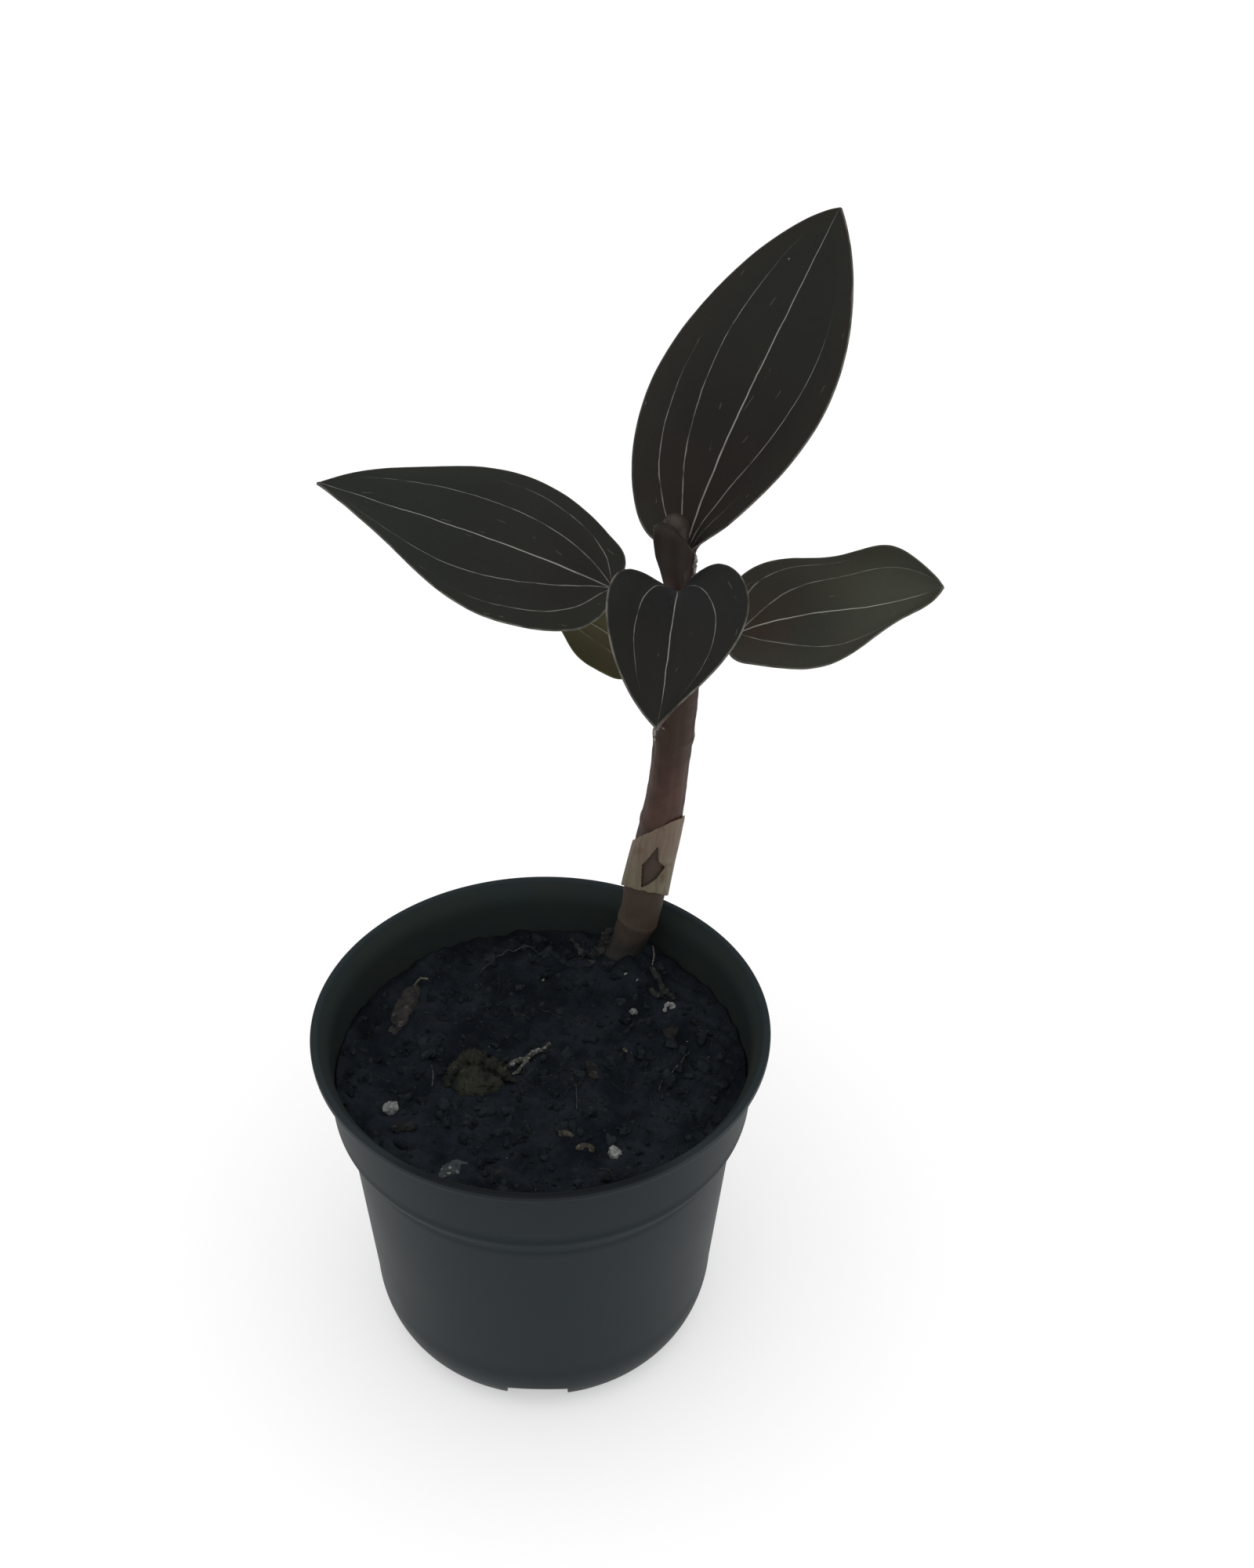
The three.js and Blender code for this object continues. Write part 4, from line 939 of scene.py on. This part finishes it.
potLook = {
    "dark": "#1a2225", "light": "#1e272a", "dust": "#6a706d", "insideGrey": "#30383b", "insideGreen": "#383f39",
    # the lip: a painted highlight on its top, and painted shade along its front
    "lip": "#2b3336", "lipFrontShade": "#13181b",
    "lipHeights": [88.7, 89.9], "frontDepths": [-48, -38],
    "dirtySteps": [[67.5, 3, 6], [86.8, 1.2, 3]],  # height of each step, and where its dirt thins and ends
}


def makePotPlastic():
    # Injection-moulded polypropylene: smooth satin that mirrors the pale room softly, with faint flow marks
    material, tree, spot = newMaterial("pot plastic, injection-moulded satin")
    look = potLook
    place = addNode(tree, "SeparateXYZ", [spot]).outputs
    bloom = addNode(tree, "TexNoise", {"Vector": spot, "Scale": perMetre(30), "Detail": 3.0})
    dustCells = addNode(tree, "TexVoronoi", {"Vector": spot, "Scale": perMetre(5)})
    dust = addNode(tree, "MapRange", [dustCells, 0.015, 0.03, 0.25, 0.0])
    # the wall takes a paler grey-green tone inside, which is where it faces the pot's axis
    facing = addNode(tree, "NewGeometry").outputs["Normal"]
    outward = addNode(tree, "VectorMath", [spot, (1.0, 1.0, 0.0)], operation="MULTIPLY")
    away = addNode(tree, "VectorMath", [outward], operation="NORMALIZE")
    turned = addNode(tree, "VectorMath", [away, facing], operation="DOT_PRODUCT")
    isInside = addNode(tree, "MapRange", [turned, -0.25, -0.02, 0.9, 0.0], **eased)
    insidePatches = addNode(tree, "TexNoise", {"Vector": spot, "Scale": perMetre(9), "Detail": 4.0})
    film = layColours(tree, look["insideGrey"], [(insidePatches, look["insideGreen"])])
    # painted highlight: the lip's top is painted pale; painted shade: its front is painted dark
    litLipTop = addNode(tree, "MapRange", [place["Z"], *inMetres(look["lipHeights"])], **eased)
    front = addNode(tree, "MapRange", [place["Y"], *inMetres(look["frontDepths"]), 1.0, 0.0], **eased)
    lip = layColours(tree, look["lip"], [(front, look["lipFrontShade"])])
    colour = layColours(tree, look["dark"], [(bloom, look["light"]), (dust, look["dust"]), (isInside, film),
                                             (litLipTop, lip)])
    flowPlace = addNode(tree, "Mapping", {"Vector": spot, "Scale": (0.25, 0.25, 1.0)})
    flow = addNode(tree, "TexNoise", {"Vector": flowPlace, "Scale": perMetre(5), "Detail": 2.0})
    grain = addNode(tree, "TexNoise", {"Vector": spot, "Scale": perMetre(0.7), "Detail": 2.0})
    relief = addNode(tree, "Math", [grain, flow], operation="ADD")
    dull = addNode(tree, "MapRange", [bloom, 0.3, 0.7, 0.46, 0.52])
    # dirt sits under the lip and the collar's foot and takes the shine off both steps
    shine = []
    for step, near, far in look["dirtySteps"]:
        off = addNode(tree, "Math", [place["Z"], step * mm], operation="SUBTRACT")
        distance = addNode(tree, "Math", [off], operation="ABSOLUTE")
        shine.append(addNode(tree, "MapRange", [distance, near * mm, far * mm, 0.15, 0.35], **eased))
    level = addNode(tree, "Math", shine, operation="MULTIPLY")
    finishMaterial(tree, relief, 0.05, 0.2, {
        "Base Color": colour, "Roughness": dull, "Specular IOR Level": level})
    return material


def buildPot():
    p = potSizes
    centre = p["bodyFootRadius"] - p["footReach"]
    lipBottom = p["height"] - p["lipHeight"]
    outside = footArc(centre, p["footReach"], p["footHeight"], p["footHeight"])
    wallUp = rounded([outside[-1], [p["bodyTopRadius"], p["collarFoot"] - 2, 2.4],
                      [p["collarFootRadius"], p["collarFoot"] + 1.4, 2.4],
                      [p["collarRadius"], lipBottom - 0.6, 1.2],
                      [p["lipRadius"], lipBottom + 0.5, 1.2], [p["lipRadius"], p["height"], 0.5],
                      [p["lipRadius"] - 1.5, p["height"], 1.0],
                      [p["collarRadius"] - p["wall"], p["height"] - 4, 4.0],
                      [p["collarFootRadius"] - p["wall"], p["collarFoot"] + 1],
                      [p["bodyTopRadius"] - p["wall"], p["collarFoot"] + 0.5],
                      [p["bodyFootRadius"] - p["wall"], p["footHeight"]]], 0.55)
    inside = footArc(centre, p["footReach"] - p["wall"], p["footHeight"] - p["floor"], p["footHeight"])
    inside = inside[::-1]
    flat = [[r, 0.0] for r in (0.05, 10, 20, 27, 29, 30.5)]
    outline = np.array(flat + outside[:-1] + wallUp + inside[1:] + [[20, p["floor"]], [0.05, p["floor"]]])
    # long straight runs are cut up so that the wall can be very slightly oval
    steps = [outline[0]]
    for a, b in zip(outline, outline[1:]):
        for t in np.linspace(0, 1, max(1, int(np.linalg.norm(b - a) / 2.5)) + 1)[1:]:
            steps.append(mix(a, b, t))
    outline = np.array(steps)
    sides = p["segments"]
    turn = fullTurn(sides)
    r, z = np.repeat(outline[:, :1], sides, 1), np.repeat(outline[:, 1:], sides, 1)
    high = z / p["height"]
    oval = 1 + 0.0012 * np.sin(2 * turn + 0.6) * high + 0.0006 * np.sin(3 * turn) * high
    points = np.stack([r * oval * np.cos(turn), r * oval * np.sin(turn), z], -1)
    pot = addMesh("pot_moulded", points, tubeFaces(len(outline), sides), [makePotPlastic()])
    cutDrainSlots(pot)
    return settle(pot, "pot_plastic", "pot")


buildPot()
print("pot built")


# Soil and what lies on it

soilSizes = {
    "level": 76, "mound": [19, 35, 5.8, 9], "relief": 0.55, "rings": 138, "segments": 330,
    "gap": 0.3,                                   # to the pot's wall and floor
    "radius": 47.62, "wallBand": [47.6, 45.0],    # the crumbs lie lower in this band along the pot's wall
    "stemFoot": [17, 36, 4.8], "strewn": 46.3,    # loose bits keep out of one and inside the other
    "coarse": 520, "fine": 1400, "fibres": 45, "fibreReach": [42, 45], "seed": 12,
}


def soilHeight(x, y):
    moundX, moundY, height, spread = soilSizes["mound"]
    heap = height * np.exp(-((x - moundX) ** 2 + (y - moundY) ** 2) / spread ** 2)
    waves = (np.sin(0.41 * x + 1.3) * np.cos(0.37 * y - 0.4) + 0.7 * np.sin(0.83 * x - 0.55 * y + 2.1)
             + 0.5 * np.sin(1.27 * y + 0.9 * x))
    return soilSizes["level"] + heap + soilSizes["relief"] * waves


def bedCrumbs(x, y):
    # soft lumps that break the bed's surface
    flat = np.stack([x, y, 0 * x], -1)
    return 0.9 * lumps(flat, 8, 1, 3) + 0.6 * lumps(flat, 3.2, 2, 4)


def makeCrumbly(name, dark, light, fleck, fleckShare, grainSize, roughness=0.92, bumpDepth=0.6,
                specular=0.15, patch=None):
    # one recipe for rough natural bits: two tones in patches, rare pale flecks, and a deep broken grain
    material, tree, spot = newMaterial(name)
    tones = addNode(tree, "TexNoise", {"Vector": spot, "Scale": perMetre(patch or grainSize * 3),
                    "Detail": 7.0, "Roughness": 0.6})
    toneShare = addNode(tree, "MapRange", [tones, 0.35, 0.65], **eased)
    cells = addNode(tree, "TexVoronoi", {"Vector": spot, "Scale": perMetre(grainSize)})
    cellTone = addNode(tree, "SeparateColor", [cells.outputs["Color"]])
    rare = addNode(tree, "MapRange", [cellTone, 1 - fleckShare, 1 - 0.6 * fleckShare, 0.0, 0.8])
    colour = layColours(tree, dark, [(toneShare, light), (rare, fleck)])
    grain = addNode(tree, "TexNoise", {"Vector": spot, "Scale": perMetre(grainSize * 0.8), "Detail": 5.0,
                    "Roughness": 0.7})
    height = addNode(tree, "Math", [grain, cells], operation="SUBTRACT")
    finishMaterial(tree, height, bumpDepth, grainSize, {
        "Base Color": colour, "Roughness": roughness, "Specular IOR Level": specular})
    return material


# damp peat: blue-black, with a soft brown crumb here and there
peat = makeCrumbly("soil bed, damp peat", "#12171d", "#242a30", "#2d2e2d", 0.015, 0.9, bumpDepth=0.4,
                   specular=0.1, patch=10)
# loose crumbs are painted a shade lighter than the bed, painted light that lifts the shade on their sides
crumb = makeCrumbly("soil crumbs, peat painted lighter", "#181d22", "#292f34", "#31322f", 0.015, 0.7,
                    bumpDepth=0.4, specular=0.1, patch=6)
# bark, chips and twig each keep their own broken grain, so they read apart from the peat
barkSkin = makeCrumbly("bark, weathered grey", "#2b2a2b", "#413e3c", "#575350", 0.05, 0.9)
darkBarkSkin = makeCrumbly("bark, soaked dark", "#1e2022", "#33322f", "#4a443d", 0.05, 0.7)
mossSkin = makeCrumbly("moss lump, matted threads", "#1b1f1e", "#38392f", "#4a4a3e", 0.04, 0.7, patch=6)
stoneSkin = makeCrumbly("stone chip, split face", "#2a2f32", "#454b4e", "#8f9492", 0.12, 0.6, 0.7, 0.3, 0.2)
tanSkin = makeCrumbly("wood chip, dry and split", "#37342e", "#59544a", "#77736a", 0.08, 0.5)
perliteSkin = makeCrumbly("perlite, foamed glass", "#6e7271", "#8d908d", "#aaada9", 0.2, 0.5, 0.75, 0.5)
lichenSkin = makeCrumbly("twig with grey lichen", "#363733", "#686963", "#9a9b94", 0.2, 0.5)
fibreSkin = makeCrumbly("root fibre, dry", "#303234", "#47494b", "#5c5e5f", 0.1, 0.5)
dullFibreSkin = makeCrumbly("root fibre, damp", "#282a2c", "#3f4040", "#515250", 0.1, 0.5)
strawSkin = makeCrumbly("straw, bleached", "#56554f", "#7d7b73", "#96948b", 0.15, 0.4)
stubSkin = makeCrumbly("old root stub, grey-green", "#262a2a", "#3b403d", "#4c504a", 0.1, 0.6)


def buildSoilBed():
    s, p = soilSizes, potSizes
    rings, sides, gap = s["rings"], s["segments"], s["gap"]
    turn = fullTurn(sides)
    reach = (s["radius"] * np.linspace(1, 0.004, rings) ** 0.9)[:, None]
    x, y = reach * np.cos(turn), reach * np.sin(turn)
    z = soilHeight(x, y) + bedCrumbs(x, y) * (0.35 + 0.65 * ramp(*s["wallBand"], reach))
    top = np.stack([x, y, z], -1)
    centre = p["bodyFootRadius"] - p["footReach"] - gap
    reachIn, rise = p["footReach"] - p["wall"], p["footHeight"] - p["floor"] - gap
    arc = footArc(centre, reachIn, rise, p["footHeight"], 30)
    wallLine = [[r, p["floor"] + gap] for r in (0.2, 12, 22, 28)] + arc
    # under the collar the soil widens with the wall
    wallLine += [[p["bodyTopRadius"] - p["wall"] - gap, p["collarFoot"] + 0.8],
                 [p["collarFootRadius"] - p["wall"] - gap, p["collarFoot"] + 1.3]]
    wall = np.array([[[r * math.cos(a), r * math.sin(a), h] for a in turn] for r, h in wallLine])
    # behind each drain slot the root ball's face lies flat
    d = p["drain"]
    slope = (d["outer"] - d["inner"]) / d["height"]
    for heading in np.radians(d["headings"]):
        forward = np.array([math.cos(heading), math.sin(heading)])
        outward = wall[..., :2] @ forward
        sideways = wall[..., :2] @ np.array([-forward[1], forward[0]])
        behind = (np.abs(sideways) < d["width"] / 2 + gap) & (wall[..., 2] < d["height"] + gap)
        behind &= outward > 0
        excess = np.where(behind, np.maximum(0, outward - (d["inner"] - 0.35 + slope * wall[..., 2])), 0)
        wall[..., :2] -= excess[..., None] * forward
    points = np.concatenate([wall, top])
    faces = gridFaces(len(points), sides, closed=True).tolist()
    return settle(addMesh("soil_bed", points, faces, [peat]), "soil", "soil")


def keepClear(x, y, margin):
    # true where no loose bit or stem stands
    stemX, stemY, stemReach = soilSizes["stemFoot"]
    clear = np.hypot(x - stemX, y - stemY) > stemReach + margin
    for name in looseBits:
        low, high = (np.array(corner) * 1000 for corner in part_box(name))
        clear &= ((x < low[0] - margin) | (x > high[0] + margin)
                  | (y < low[1] - margin) | (y > high[1] + margin))
    return clear


def scatter(name, count, sizes, detail, seed, material, smoothed=True):
    # broken grains strewn over the bed, each a squashed and turned ball in one of several shapes
    rng = np.random.default_rng(seed)
    ball, triangles = icoBall(detail)
    shapes = 24
    away, bearing = soilSizes["strewn"] * np.sqrt(rng.random(count)), 2 * math.pi * rng.random(count)
    x, y = away * np.cos(bearing), away * np.sin(bearing)
    size = mix(sizes[0], sizes[1], rng.random(count) ** 2.6)
    keep = keepClear(x, y, 0.3)
    x, y, size = x[keep], y[keep], size[keep]
    count = len(x)
    dents = np.array([lumps(ball, 0.9, seed + i, 4) for i in range(shapes)])
    shape = ball[None] * (1 + 0.6 * dents[rng.integers(0, shapes, count)])[..., None]
    shape = shape * (size[:, None] * mix(0.45, 1.2, rng.random((count, 3))))[:, None, :]
    turns = rng.normal(size=(count, 4))
    w, i, j, k = (turns / np.linalg.norm(turns, axis=1, keepdims=True)).T
    spin = np.stack([1 - 2 * (j * j + k * k), 2 * (i * j - k * w), 2 * (i * k + j * w),
                     2 * (i * j + k * w), 1 - 2 * (i * i + k * k), 2 * (j * k - i * w),
                     2 * (i * k - j * w), 2 * (j * k + i * w), 1 - 2 * (i * i + j * j)], -1)
    shape = np.einsum("nab,nvb->nva", spin.reshape(-1, 3, 3), shape)
    height = soilHeight(x, y) + bedCrumbs(x, y)
    place = np.stack([x, y, height - 0.2 * size], -1)
    points = (shape + place[:, None]).reshape(-1, 3)
    faces = (triangles[None] + (np.arange(count) * len(ball))[:, None, None]).reshape(-1, 3)
    return settle(addMesh(name, points, faces, [material], smoothed=smoothed), "soil")


# What each loose bit is made of, its slot, the size and depth of its breaks in mm, and the depth of any fur
looseBits = {
    "bark_long": [barkSkin, "bark", 2.2, 0.5], "moss_lump": [mossSkin, "moss", 2.8, 1.2, 1.0],
    "chip_grey": [stoneSkin, "stone_chip", 2.6, 0.45], "chip_tan_1": [tanSkin, "bark", 1.2, 0.25],
    "chip_tan_2": [tanSkin, "bark", 1.2, 0.25], "chip_dark_1": [darkBarkSkin, "bark", 1.8, 0.35],
    "chip_dark_2": [darkBarkSkin, "bark", 1.8, 0.35], "chip_dark_3": [darkBarkSkin, "bark", 1.8, 0.35],
    "perlite_1": [perliteSkin, "perlite", 1.6, 0.2], "perlite_2": [perliteSkin, "perlite", 0.8, 0.35],
    "perlite_3": [perliteSkin, "perlite", 0.9, 0.2], "perlite_4": [perliteSkin, "perlite", 0.9, 0.2],
}


def buildLooseBit(name, skin, slot, grain, depth, fur=0):
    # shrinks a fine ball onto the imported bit, then breaks its surface up
    ball, triangles = icoBall(5)
    body = bpy.data.objects.new("shape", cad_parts[name].data)
    bpy.context.scene.collection.objects.link(body)
    low, high = (np.array(corner) * 1000 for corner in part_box(name))
    centre = (low + high) / 2
    bpy.context.view_layer.update()
    points = []
    for direction in ball:
        far = Vector((centre + direction * 60) * mm)
        found, place, _, _ = body.ray_cast(far, Vector(-direction))
        points.append(np.array(place) * 1000 if found else centre)
    bpy.data.objects.remove(body)
    points = np.array(points)
    outward = points - centre
    outward /= np.linalg.norm(outward, axis=1, keepdims=True)
    points += outward * (depth * lumps(points, grain, len(name), 4) - 0.3 * depth + fur)[:, None]
    return settle(addMesh(name + "_rough", points, triangles, [skin]), slot, name)


twig = {
    # x, y, height over the bed and radius along the main arm and the side arm
    "arms": [[[-7.6, -0.9, 1.0, 0.5], [-5.4, 0.6, 1.3, 0.7], [-2.6, 2.2, 1.4, 0.65], [1.6, 5.0, 1.5, 0.35]],
             [[-6.4, -3.6, 0.7, 0.35], [-4.9, -1.4, 1.0, 0.45], [-3.4, 1.0, 1.2, 0.4]]],
    "girth": 0.92, "breaks": 0.55,
}


def buildTwig():
    tubes = []
    for arm in twig["arms"]:
        path = alongStations(arm, 30)
        path[:, 2] += soilHeight(path[:, 0], path[:, 1])
        tubes.append(roughTube(path, 28, twig["breaks"], 0.9, 6, 4, twig["girth"]))
    return settle(addMesh("lichen_twig_rough", *joinTubes(tubes), [lichenSkin]), "bark", "lichen_twig")


# Straws and crumbs that stand out: material, then x, y, height over the bed and radius along each
def strayBits():
    return [
        [fibreSkin, [[-17, 30.4, 0.5, 0.1], [-13.6, 34.8, 0.9, 0.16], [-10, 38.6, 1.1, 0.17],
                     [-6.6, 40, 0.9, 0.15], [-3, 39.2, 0.4, 0.1]]],
        [fibreSkin, [[27.2, -7.9, 0.5, 0.2], [28.6, -3.9, 0.9, 0.22], [31.2, -1.3, 0.9, 0.2],
                     [34.5, 5.5, 0.5, 0.12]]],
        [strawSkin, [[25.6, 38.3, 0.3, 0.12], [25.9, 35, 1.0, 0.22], [25.5, 31.8, 0.4, 0.14]]],
        [strawSkin, [[-32.7, 26.2, 0.4, 0.15], [-31.4, 28.0, 1.1, 0.35], [-29.3, 28.2, 0.6, 0.2]]],
        [fibreSkin, [[-25.5, -1.9, 0.6, 0.16], [-24.8, -5.2, 0.8, 0.24], [-24.9, -7.7, 0.4, 0.16]]],
        [fibreSkin, [[8.2, -6.7, 0.5, 0.1], [8.6, -13.4, 0.5, 0.16]]],
        [stubSkin, [[25.1, 31.2, 0.3, 0.5], [26.7, 28.5, 0.6, 0.8], [28.4, 25.7, 0.3, 0.6]]],
        [stubSkin, [[5.3, 42.4, 0.3, 0.35], [7.1, 39.9, 0.7, 0.75], [8.6, 37.2, 0.4, 0.6]]],
        [stubSkin, [[25.2, 25.2, 0.2, 0.5], [27.1, 24.1, 0.4, 0.8], [29.0, 25.8, 0.3, 0.6]]],
        [stubSkin, [[28.6, 25.4, 0.2, 0.5], [30.7, 22.7, 0.4, 0.7]]],
        [perliteSkin, [[28.6, 18.9, 0.4, 0.5], [29.6, 20.3, 0.6, 0.55]]],
        [perliteSkin, [[20.8, 18.5, 0.3, 0.4], [21.8, 18.8, 0.4, 0.5]]],
        [perliteSkin, [[18.8, 27.8, 0.4, 0.2], [19.3, 28.1, 0.5, 0.28]]],
        [perliteSkin, [[21.7, 26.4, 0.4, 0.18], [22.0, 26.8, 0.5, 0.24]]],
        [perliteSkin, [[-1.2, 29.3, 0.3, 0.25], [-0.8, 30.1, 0.5, 0.3]]],
        [tanSkin, [[19, 5.4, 0.4, 0.4], [20.6, 4.6, 0.5, 0.5]]],
        [mossSkin, [[-21.2, -8.4, 0.3, 0.7], [-20.5, -4.8, 1.2, 1.3], [-18.2, -1.6, 1.7, 1.7],
                    [-15.1, -1.1, 2.1, 2.0], [-11.5, -2.4, 1.9, 1.9], [-8.3, -4.3, 1.1, 1.3],
                    [-5.6, -6.0, 0.3, 0.5]]],
        [stubSkin, [[10.9, 36.6, 0.3, 0.9], [12.2, 35.5, 0.7, 1.3], [13.6, 35.2, 0.3, 1.0]]],
        [barkSkin, [[13.6, 36.3, 0.5, 1.3], [14.3, 36.6, 2.6, 1.5], [15.2, 36.9, 4.6, 1.1]]],
    ]


def buildStrays():
    for number, (skin, stray) in enumerate(strayBits()):
        path = alongStations(stray, 14)
        x, y = path[:, 0], path[:, 1]
        path[:, 2] += soilHeight(x, y) + bedCrumbs(x, y) * 0.8
        tube = roughTube(path, 14, 0.7, 0.8, number)
        settle(addMesh("stray_%02d" % number, tube, tubeFaces(*tube.shape[:2]), [skin]), "soil")


def buildFibres():
    # hair-fine root fibres lying over the crumbs
    rng = np.random.default_rng(soilSizes["seed"])
    startReach, endReach = soilSizes["fibreReach"]
    lines, thick = [], []
    for _ in range(soilSizes["fibres"]):
        away, bearing = startReach * math.sqrt(rng.random()), 2 * math.pi * rng.random()
        start = np.array([away * math.cos(bearing), away * math.sin(bearing)])
        heading, length = 2 * math.pi * rng.random(), mix(1.0, 3.2, rng.random() ** 2)
        path = [start]
        for _ in range(3):
            heading += rng.normal() * 0.5
            path.append(path[-1] + length * np.array([math.cos(heading), math.sin(heading)]))
        if np.hypot(*path[-1]) < endReach:
            lines.append([list(p) for p in path])
            thick.append(mix(0.04, 0.1, rng.random() ** 2))
    tubes = []
    for line, radius in zip(lines, thick):
        flat = alongStations(line, 6)
        x, y = flat[:, 0], flat[:, 1]
        arch = rng.random() * 0.6 * np.sin(np.linspace(0, math.pi, len(flat)))
        z = soilHeight(x, y) + bedCrumbs(x, y) + 0.3 + arch
        tubes.append(tubePoints(np.stack([x, y, z, np.full(len(x), radius)], -1), 6))
    return settle(addMesh("soil_fibres", *joinTubes(tubes), [dullFibreSkin]), "soil")


buildSoilBed()
scatter("soil_crumbs", soilSizes["coarse"], [0.6, 2.0], 3, 21, crumb)
scatter("soil_grit", soilSizes["fine"], [0.2, 0.6], 1, 22, crumb)
scatter("soil_chaff", 12, [0.2, 0.5], 1, 23, tanSkin, smoothed=False)
scatter("soil_perlite_dust", 14, [0.12, 0.3], 1, 24, perliteSkin, smoothed=False)
for bitName, bitParts in looseBits.items():
    buildLooseBit(bitName, *bitParts)
buildTwig()
buildStrays()
buildFibres()
print("soil built")


# Studio: a pale floor, an even sky and one large soft light

studio = {
    "sky": 0.42, "sun": 1.0, "sunAngle": 80, "sunTilt": 12,
    "floor": "#f3f3f3", "floorReach": 6000, "glow": 0.42,
    # the camera: its place, lens and film in mm, and its three turns in degrees
    "place": [19.566, -326.674, 402.092], "lens": 45, "film": 36,
    "swing": 0.172, "down": 36.73, "roll": 1.089,
}


def buildFloor():
    material, tree, _ = newMaterial("studio floor, matt white paper")
    shader = addNode(tree, "BsdfPrincipled", {
        "Base Color": studio["floor"], "Roughness": 1.0, "Specular IOR Level": 0.0,
        "Emission Color": (1.0, 1.0, 1.0, 1.0), "Emission Strength": studio["glow"]})
    addNode(tree, "OutputMaterial", {"Surface": shader})
    far = studio["floorReach"]
    corners = [[-far, -far, 0], [far, -far, 0], [far, far, 0], [-far, far, 0]]
    addMesh("studio_floor", corners, [[0, 1, 2, 3]], [material])


def buildLight():
    world = bpy.data.worlds.new("studio sky")
    world.use_nodes = True
    background = world.node_tree.nodes["Background"]
    background.inputs["Color"].default_value = (1.0, 1.0, 1.0, 1.0)
    background.inputs["Strength"].default_value = studio["sky"]
    bpy.context.scene.world = world
    lamp = bpy.data.lights.new("soft light", "SUN")
    lamp.energy = studio["sun"]
    lamp.angle = math.radians(studio["sunAngle"])
    light = bpy.data.objects.new("soft light", lamp)
    light.rotation_euler = (math.radians(studio["sunTilt"]), 0, 0)
    bpy.context.scene.collection.objects.link(light)


def buildCamera():
    lens = bpy.data.cameras.new("camera")
    lens.lens = studio["lens"]
    lens.sensor_width = studio["film"]
    lens.clip_start = 0.01
    lens.clip_end = 50
    camera = bpy.data.objects.new("camera", lens)
    rotation = (Matrix.Rotation(math.radians(studio["swing"]), 4, "Z")
                @ Matrix.Rotation(math.radians(90 - studio["down"]), 4, "X")
                @ Matrix.Rotation(math.radians(studio["roll"]), 4, "Z"))
    camera.matrix_world = Matrix.Translation(Vector(studio["place"]) * mm) @ rotation
    bpy.context.scene.collection.objects.link(camera)
    bpy.context.scene.camera = camera
    bpy.context.scene.view_settings.view_transform = "Standard"


buildFloor()
buildLight()
buildCamera()
print("studio set")
